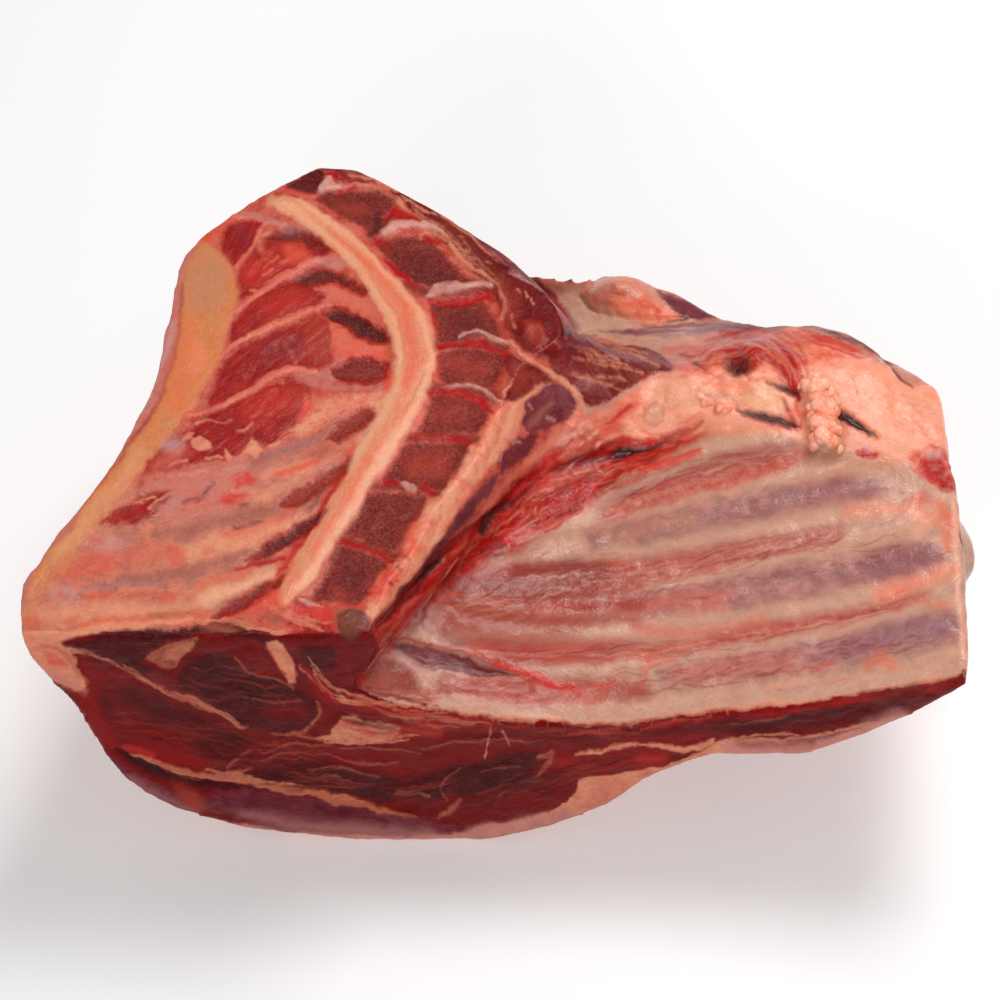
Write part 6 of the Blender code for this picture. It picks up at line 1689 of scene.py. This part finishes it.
def flesh_material(name, specular, coat):
    """Wet meat: the painted ground, inks and glaze, broken up by blots, fibres and pores."""
    result = bpy.data.materials.new(name)
    result.use_nodes = True
    tree = result.node_tree
    shader = tree.nodes["Principled BSDF"]
    place = tree.nodes.new("ShaderNodeTexCoord").outputs["Object"]
    fibre_place = attribute(tree, "fibre_place").outputs["Vector"]
    blots = noise(tree, place, BLOTS, 4.0, 0.6)
    spots = noise(tree, place, SPOTS, 3.0, 0.6)
    specks = noise(tree, place, SPECKS, 3.0, 0.6)
    fibres = noise(tree, fibre_place, FIBRES, 3.0, 0.55)
    threads = noise(tree, fibre_place, THREADS, 2.0, 0.5, 0.3)
    edges = centred(tree, math_node(tree, "MULTIPLY_ADD", spots, 0.7,
                                    math_node(tree, "MULTIPLY", specks, 0.3)))
    fibre_edges = math_node(tree, "MULTIPLY_ADD", centred(tree, fibres), 0.8, edges)
    # The ground, blotched with its second colour.
    soft_mix = math_node(tree, "MULTIPLY_ADD", blots, 0.5, math_node(tree, "MULTIPLY", spots, 0.3))
    soft_mix = math_node(tree, "MULTIPLY_ADD", fibres, 0.2, soft_mix)
    mixed = math_node(tree, "MULTIPLY_ADD", blots, 0.45, math_node(tree, "MULTIPLY", fibres, 0.55))
    colour = blended(tree, band(tree, 0.4, 0.62, soft_mix), attribute(tree, "ground").outputs["Color"],
                     attribute(tree, "ground_blots").outputs["Color"])
    cover = {}
    for ink, first, second, soft, wobble, strength, thinning in INKS:
        depth = attribute(tree, "ink_" + ink).outputs["Fac"]
        wave = fibre_edges if ink in FIBROUS else edges
        depth = math_node(tree, "MULTIPLY_ADD", wave, wobble, depth)
        hidden = math_node(tree, "MULTIPLY_ADD", band(tree, 0.4, 0.66, spots), -thinning, strength)
        share = math_node(tree, "MULTIPLY", band(tree, -soft, soft, depth), hidden)
        inner = blended(tree, band(tree, 0.38, 0.64, mixed if ink in FIBROUS else soft_mix),
                        linear(first), linear(second))
        colour = blended(tree, share, colour, inner)
        cover[ink] = share
    # Pores of the sawn bone, pale and dark.
    pores = noise(tree, place, PORES, 2.0, 0.6)
    grit = math_node(tree, "MULTIPLY", band(tree, 0.54, 0.68, pores),
                     math_node(tree, "MULTIPLY", cover["marrow"], 0.5))
    colour = blended(tree, grit, colour, linear("marrow_pale"))
    pits = band(tree, 0.46, 0.34, pores)
    grit = math_node(tree, "MULTIPLY", pits, math_node(tree, "MULTIPLY", cover["marrow"], 0.6))
    colour = blended(tree, grit, colour, linear("darkest"))
    # Pale fibres and marbling inside the muscles.
    muscle = math_node(tree, "MAXIMUM", cover["meat"], math_node(tree, "MAXIMUM", cover["dark"],
                                                                 cover["brick"]))
    light = math_node(tree, "MULTIPLY", band(tree, 0.56, 0.72, threads),
                      math_node(tree, "MULTIPLY", muscle, 0.35))
    colour = blended(tree, light, colour, linear("rust"))
    gleam = math_node(tree, "MULTIPLY", band(tree, 0.5, 0.7, fibres),
                      math_node(tree, "MULTIPLY", cover["stripe"], 0.35))
    colour = blended(tree, gleam, colour, linear("lining"))
    # Glaze, thinner where the blots are high.
    share = attribute(tree, "glaze_share").outputs["Fac"]
    share = math_node(tree, "MULTIPLY", share, math_node(tree, "MULTIPLY_ADD", soft_mix, -1.2, 1.6))
    share = math_node(tree, "MINIMUM", share, 1.0)
    colour = blended(tree, share, colour, attribute(tree, "glaze").outputs["Color"])
    # Uneven tone all over.
    tone = math_node(tree, "MULTIPLY_ADD", blots, 0.3, 0.82)
    fine_tone = math_node(tree, "MULTIPLY_ADD", specks, 0.3, 0.85)
    shade = tree.nodes.new("ShaderNodeHueSaturation")
    tree.links.new(math_node(tree, "MULTIPLY", tone, fine_tone), shade.inputs["Value"])
    tree.links.new(colour, shade.inputs["Color"])
    tree.links.new(shade.outputs["Color"], shader.inputs["Base Color"])
    wet = attribute(tree, "wet").outputs["Fac"]
    gloss = math_node(tree, "MULTIPLY_ADD", spots, 0.26, 0.2)
    gloss = math_node(tree, "MULTIPLY_ADD", cover["marrow"], 0.2, gloss)
    damp = math_node(tree, "MAXIMUM", wet, math_node(tree, "MULTIPLY", band(tree, 0.52, 0.66, spots), 0.55))
    gloss = math_node(tree, "MULTIPLY_ADD", damp, -0.26, gloss)
    tree.links.new(gloss, shader.inputs["Roughness"])
    shader.inputs["Specular IOR Level"].default_value = specular
    shader.inputs["Coat Weight"].default_value = coat
    shader.inputs["Coat Roughness"].default_value = 0.08
    height = math_node(tree, "MULTIPLY_ADD", fibres, 0.6, spots)
    height = math_node(tree, "MULTIPLY_ADD", specks, 0.6, height)
    height = math_node(tree, "MULTIPLY_ADD", pits, math_node(tree, "MULTIPLY", cover["marrow"], -0.6),
                       height)
    height = math_node(tree, "MULTIPLY", height, math_node(tree, "MULTIPLY_ADD", wet, 1.8, 1.0))
    bump = new_node(tree, "ShaderNodeBump", at_Strength=0.38, at_Distance=0.0006)
    tree.links.new(height, bump.inputs["Height"])
    tree.links.new(bump.outputs["Normal"], shader.inputs["Normal"])
    tree.links.new(bump.outputs["Normal"], shader.inputs["Coat Normal"])
    return result


# ---------------------------------------------------------------- pieces of the skin

def make_piece(skin, name, chosen, finish):
    """One named piece of the skin, with what is painted on it and the whole skin's shading."""
    faces = skin.faces[chosen]
    rows, corners = np.unique(faces, return_inverse=True)
    corners = corners.reshape(-1, 4)
    mesh = bpy.data.meshes.new(name)
    mesh.vertices.add(len(rows))
    mesh.vertices.foreach_set("co", (skin.place[rows] * MM).astype(np.float32).ravel())
    mesh.loops.add(corners.size)
    mesh.loops.foreach_set("vertex_index", corners.astype(np.int32).ravel())
    mesh.polygons.add(len(corners))
    mesh.polygons.foreach_set("loop_start", np.arange(0, corners.size, 4, dtype=np.int32))
    mesh.update(calc_edges=True)
    mesh.validate()
    mesh.shade_smooth()
    mesh.normals_split_custom_set_from_vertices(skin.normal[rows].astype(np.float32).tolist())
    for label, values in (("ground", skin.ground), ("ground_blots", skin.blots), ("glaze", skin.glaze)):
        layer = mesh.attributes.new(label, "FLOAT_COLOR", "POINT")
        layer.data.foreach_set("color", np.column_stack([values[rows], np.ones(len(rows))])
                               .astype(np.float32).ravel())
    levels = {"ink_" + ink: depth for ink, depth in skin.inks.items()}
    levels["glaze_share"] = skin.glaze_share
    levels["wet"] = skin.wet
    for label, values in levels.items():
        layer = mesh.attributes.new(label, "FLOAT", "POINT")
        layer.data.foreach_set("value", values[rows].astype(np.float32))
    fibre = mesh.attributes.new("fibre_place", "FLOAT_VECTOR", "POINT")
    fibre.data.foreach_set("vector", skin.fibre_place[rows].astype(np.float32).ravel())
    mesh.materials.append(finish)
    piece = bpy.data.objects.new(name, mesh)
    bpy.context.scene.collection.objects.link(piece)
    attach(piece, "root")
    return piece


# The hanging tag of fat: its middle line, how far from it its lobules lie, and how many there are.
TAG_LINE = [(98.0, 16.0, 105.2), (98.4, 12.0, 105.0), (99.4, 7.0, 103.8), (99.8, 2.0, 103.4),
            (100.2, -3.0, 102.4), (100.4, -8.0, 101.0)]
TAG_REACH = 3.6
TAG_LOBULES = 60
LOBULE_RADIUS = (1.9, 3.0)
LOBULE_SPLITS = 3
SMALL_BUNCHES = [                 # middle, reach and how many
    ((62.0, 13.8, 99.7), (2.6, 3.0, 0.8), 4), ((67.0, 11.0, 99.3), (2.0, 1.6, 0.6), 2),
]


def lobule_places(chance):
    """The middles of the lobules: all over the hanging tag, and two small bunches beside it."""
    places = []
    line = np.array(TAG_LINE)
    for _ in range(TAG_LOBULES):
        step = chance.uniform(0.0, len(line) - 1.0)
        middle = [np.interp(step, range(len(line)), line[:, k]) for k in range(3)]
        turn = chance.uniform(-0.15, 1.15) * math.pi
        places.append(np.array(middle) + TAG_REACH * np.array([math.cos(turn), 0.0, math.sin(turn)]))
    for middle, reach, count in SMALL_BUNCHES:
        for _ in range(count):
            places.append(np.array(middle) + chance.uniform(-0.8, 0.8, 3) * np.array(reach))
    return places


def make_lobules():
    """The cluster of small fat lobules on the ridge."""
    chance = np.random.default_rng(400)
    work = bmesh.new()
    for number, middle in enumerate(lobule_places(chance)):
        radius = np.array([1.0, 0.9, 0.8]) * chance.uniform(*LOBULE_RADIUS)
        ball = bmesh.ops.create_icosphere(work, subdivisions=LOBULE_SPLITS, radius=1.0)["verts"]
        shape = np.array([vertex.co for vertex in ball])
        grown = 1.0 + 0.2 * lumps(shape + number * 5.0, 0.9, 400) + 0.06 * lumps(shape + number * 5.0, 0.35,
                                                                                 410)
        places = (middle + shape * grown[:, None] * radius) * MM
        for vertex, place in zip(ball, places):
            vertex.co = place
    mesh = bpy.data.meshes.new("fat_lobules")
    work.to_mesh(mesh)
    work.free()
    mesh.shade_smooth()
    coat = bpy.data.materials.new("raw_lamb_lobules")
    coat.use_nodes = True
    tree = coat.node_tree
    shader = tree.nodes["Principled BSDF"]
    place = tree.nodes.new("ShaderNodeTexCoord").outputs["Object"]
    patches = band(tree, 0.45, 0.62, noise(tree, place, 260.0, 3.0))
    spots = noise(tree, place, SPECKS, 3.0)
    colour = blended(tree, patches, linear("white_fat"), linear("peach"))
    tree.links.new(colour, shader.inputs["Base Color"])
    gloss = math_node(tree, "MULTIPLY_ADD", spots, 0.4, 0.1)
    tree.links.new(gloss, shader.inputs["Roughness"])
    shader.inputs["Specular IOR Level"].default_value = 0.3
    bump = new_node(tree, "ShaderNodeBump", at_Strength=0.4, at_Distance=0.0004)
    tree.links.new(spots, bump.inputs["Height"])
    tree.links.new(bump.outputs["Normal"], shader.inputs["Normal"])
    mesh.materials.append(coat)
    piece = bpy.data.objects.new("fat_lobules", mesh)
    bpy.context.scene.collection.objects.link(piece)
    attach(piece, "root")
    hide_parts("fat_tag")


# Where the pieces of the skin part, millimetres.
RIDGE_FOOT_Y = -12.0          # between the ribs' wall and the ridge of fat
RIBS_FOOT_Z = 55.0
UNDERSIDE_Z = 45.0
CROSS_CUT_Y = -80.0


def shape_relief(skin, sawn):
    """Move the skin by the painted relief and by the fine relief of its parts."""
    skin.relief += 0.25 * rough(skin.place, 11.0, 71) * np.where(sawn, 0.5, 1.0)
    bone = smooth_step(-1.0, 2.0, skin.inks["marrow"])
    skin.relief += bone * 0.18 * lumps(skin.place, 1.7, 81)
    muscle = smooth_step(-1.0, 2.0, np.maximum(skin.inks["meat"], skin.inks["stripe"]))
    skin.relief += muscle * 0.12 * lumps(skin.fibre_place, 1.2, 91)
    skin.relief += skin.wet * 0.3 * lumps(skin.place, 2.4, 96)
    relief = skin.blur(skin.relief, 2)
    skin.place = skin.place + skin.normal * relief[:, None]
    skin.place[:, 2] = np.maximum(skin.place[:, 2], 0.0)
    skin.close_hinges()
    skin.normal = skin.normals()


def dress():
    """Build the skin, paint it and cut it into its pieces."""
    skin = Skin(merged_skin())
    near_shown = skin.shown
    for _ in range(3):
        near_shown = np.maximum(near_shown, np.minimum(skin.blur(near_shown, 1) * 3.0, 1.0))
    front = smooth_step(-0.16, 0.02, skin.facing) * near_shown
    behind_plane = skin.place[:, 1] - REAR_EDGE_Y - REAR_LEAN * skin.place[:, 2]
    cut = ((skin.normal[:, 1] < -0.5) & (behind_plane < 4.5)).astype(float)
    cut = skin.blur(cut, 3)
    sawn = (skin.place[:, 2] > SAWN_Z - 0.9) & (skin.normal[:, 2] > 0.5)
    finish_outside(skin, front)
    top = Canvas(skin, front * smooth_step(0.62, 0.38, cut), EDGE_WOBBLE, 101)
    behind = Canvas(skin, front * smooth_step(0.38, 0.62, cut), EDGE_WOBBLE, 201)
    top.grain(-28)
    paint_withers(top)
    paint_backbone(top)
    paint_ribs(top)
    paint_throat(top)
    paint_ridge(top)
    paint_frayed_edge(top)
    paint_cross_cut(behind)
    shape_relief(skin, sawn)
    finishes = {name: flesh_material("raw_lamb_" + name, specular, coat)
                for name, specular, coat in (("sawn", 0.15, 0.05), ("lining", 0.24, 0.1),
                                             ("cut", 0.05, 0.03),
                                             ("cover", 0.2, 0.06))}
    middle = skin.place[skin.faces].mean(axis=1)
    way = skin.normal[skin.faces].mean(axis=1)
    group = np.full(len(middle), "outer_side", dtype="U12")
    group[middle[:, 2] < UNDERSIDE_Z] = "underside"
    group[(way[:, 2] > 0.25) & (middle[:, 2] > RIBS_FOOT_Z)] = "rib_wall"
    group[(group == "rib_wall") & (middle[:, 1] > RIDGE_FOOT_Y)] = "fat_ridge"
    group[(way[:, 1] < -0.6) & (middle[:, 1] < CROSS_CUT_Y)] = "cross_cut"
    group[sawn[skin.faces].all(axis=1)] = "sawn_face"
    nodes = sorted(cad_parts)
    bones = [n for n in nodes if n.startswith(("vertebra", "disc"))] + ["spinal_cord", "nuchal_ligament"]
    ribs = [n for n in nodes if n.startswith("rib")]
    for name, slot, finish, stands_for in (
            ("sawn_face", "meat", "sawn", bones + ["flesh"]),
            ("rib_wall", "rib_lining", "lining", ribs + ["flesh"]),
            ("fat_ridge", "fat", "lining", ["fat_tag", "flesh"]),
            ("cross_cut", "meat", "cut", ["shoulder_blade", "flesh"]),
            ("outer_side", "fat", "cover", ["flesh", "foreleg"]),
            ("underside", "fat", "cover", ["flesh", "foreleg"])):
        piece = make_piece(skin, name, np.flatnonzero(group == name), finishes[finish])
        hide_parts(*stands_for)
    make_lobules()


# ---------------------------------------------------------------- floor, light and camera

GLINT_SIZE = 0.05             # lamps of this size only add glints and cast no shadow
# Name, place and size in metres, and power in watts.
LAMPS = (
    ("key", (0.30, 0.45, 1.3), 0.5, 9.6),
    ("fill", (-0.5, -1.3, 0.7), 0.7, 8.0),
    ("glint", (0.55, 0.13, 1.06), GLINT_SIZE, 2.2),
    ("low_glint", (0.83, -0.33, 0.80), GLINT_SIZE, 1.3),
)
LAMP_AIM = (0.0, 0.0, 0.06)
FLOOR_SIZE = 8.0
FLOOR_DROP = 0.0005           # the floor lies this far below the meat
WORLD_LIGHT = 0.3


def area_light(name, place, size, power):
    """A soft square light that points at the meat."""
    data = bpy.data.lights.new(name, "AREA")
    data.shape = "SQUARE"
    data.size = size
    data.energy = power
    data.use_shadow = size > GLINT_SIZE
    light = bpy.data.objects.new(name, data)
    light.location = place
    aim = Vector(LAMP_AIM) - Vector(place)
    light.rotation_euler = aim.to_track_quat("-Z", "Y").to_euler()
    bpy.context.scene.collection.objects.link(light)


def make_studio():
    """Pale floor, soft light and the photograph's camera."""
    bpy.ops.mesh.primitive_plane_add(size=FLOOR_SIZE, location=(0.0, 0.0, -FLOOR_DROP))
    floor = bpy.context.object
    floor.name = "floor"
    paper = bpy.data.materials.new("pale_floor")
    paper.use_nodes = True
    shader = paper.node_tree.nodes["Principled BSDF"]
    shader.inputs["Base Color"].default_value = (0.98, 0.98, 0.98, 1.0)
    shader.inputs["Roughness"].default_value = 0.8
    floor.data.materials.append(paper)
    world = bpy.data.worlds.new("studio")
    world.use_nodes = True
    sky = world.node_tree.nodes["Background"]
    sky.inputs["Color"].default_value = (1.0, 1.0, 1.0, 1.0)
    sky.inputs["Strength"].default_value = WORLD_LIGHT
    bpy.context.scene.world = world
    for lamp in LAMPS:
        area_light(*lamp)
    data = bpy.data.cameras.new("camera")
    data.sensor_width = SENSOR
    data.lens = FOCAL_PIXELS * SENSOR / PIXELS
    camera = bpy.data.objects.new("camera", data)
    camera.location = CAMERA_PLACE * MM
    camera.rotation_euler = (math.pi / 2 - LOOK_DOWN, 0.0, 0.0)
    bpy.context.scene.collection.objects.link(camera)
    bpy.context.scene.camera = camera
    bpy.context.scene.view_settings.view_transform = "Standard"


dress()
make_studio()
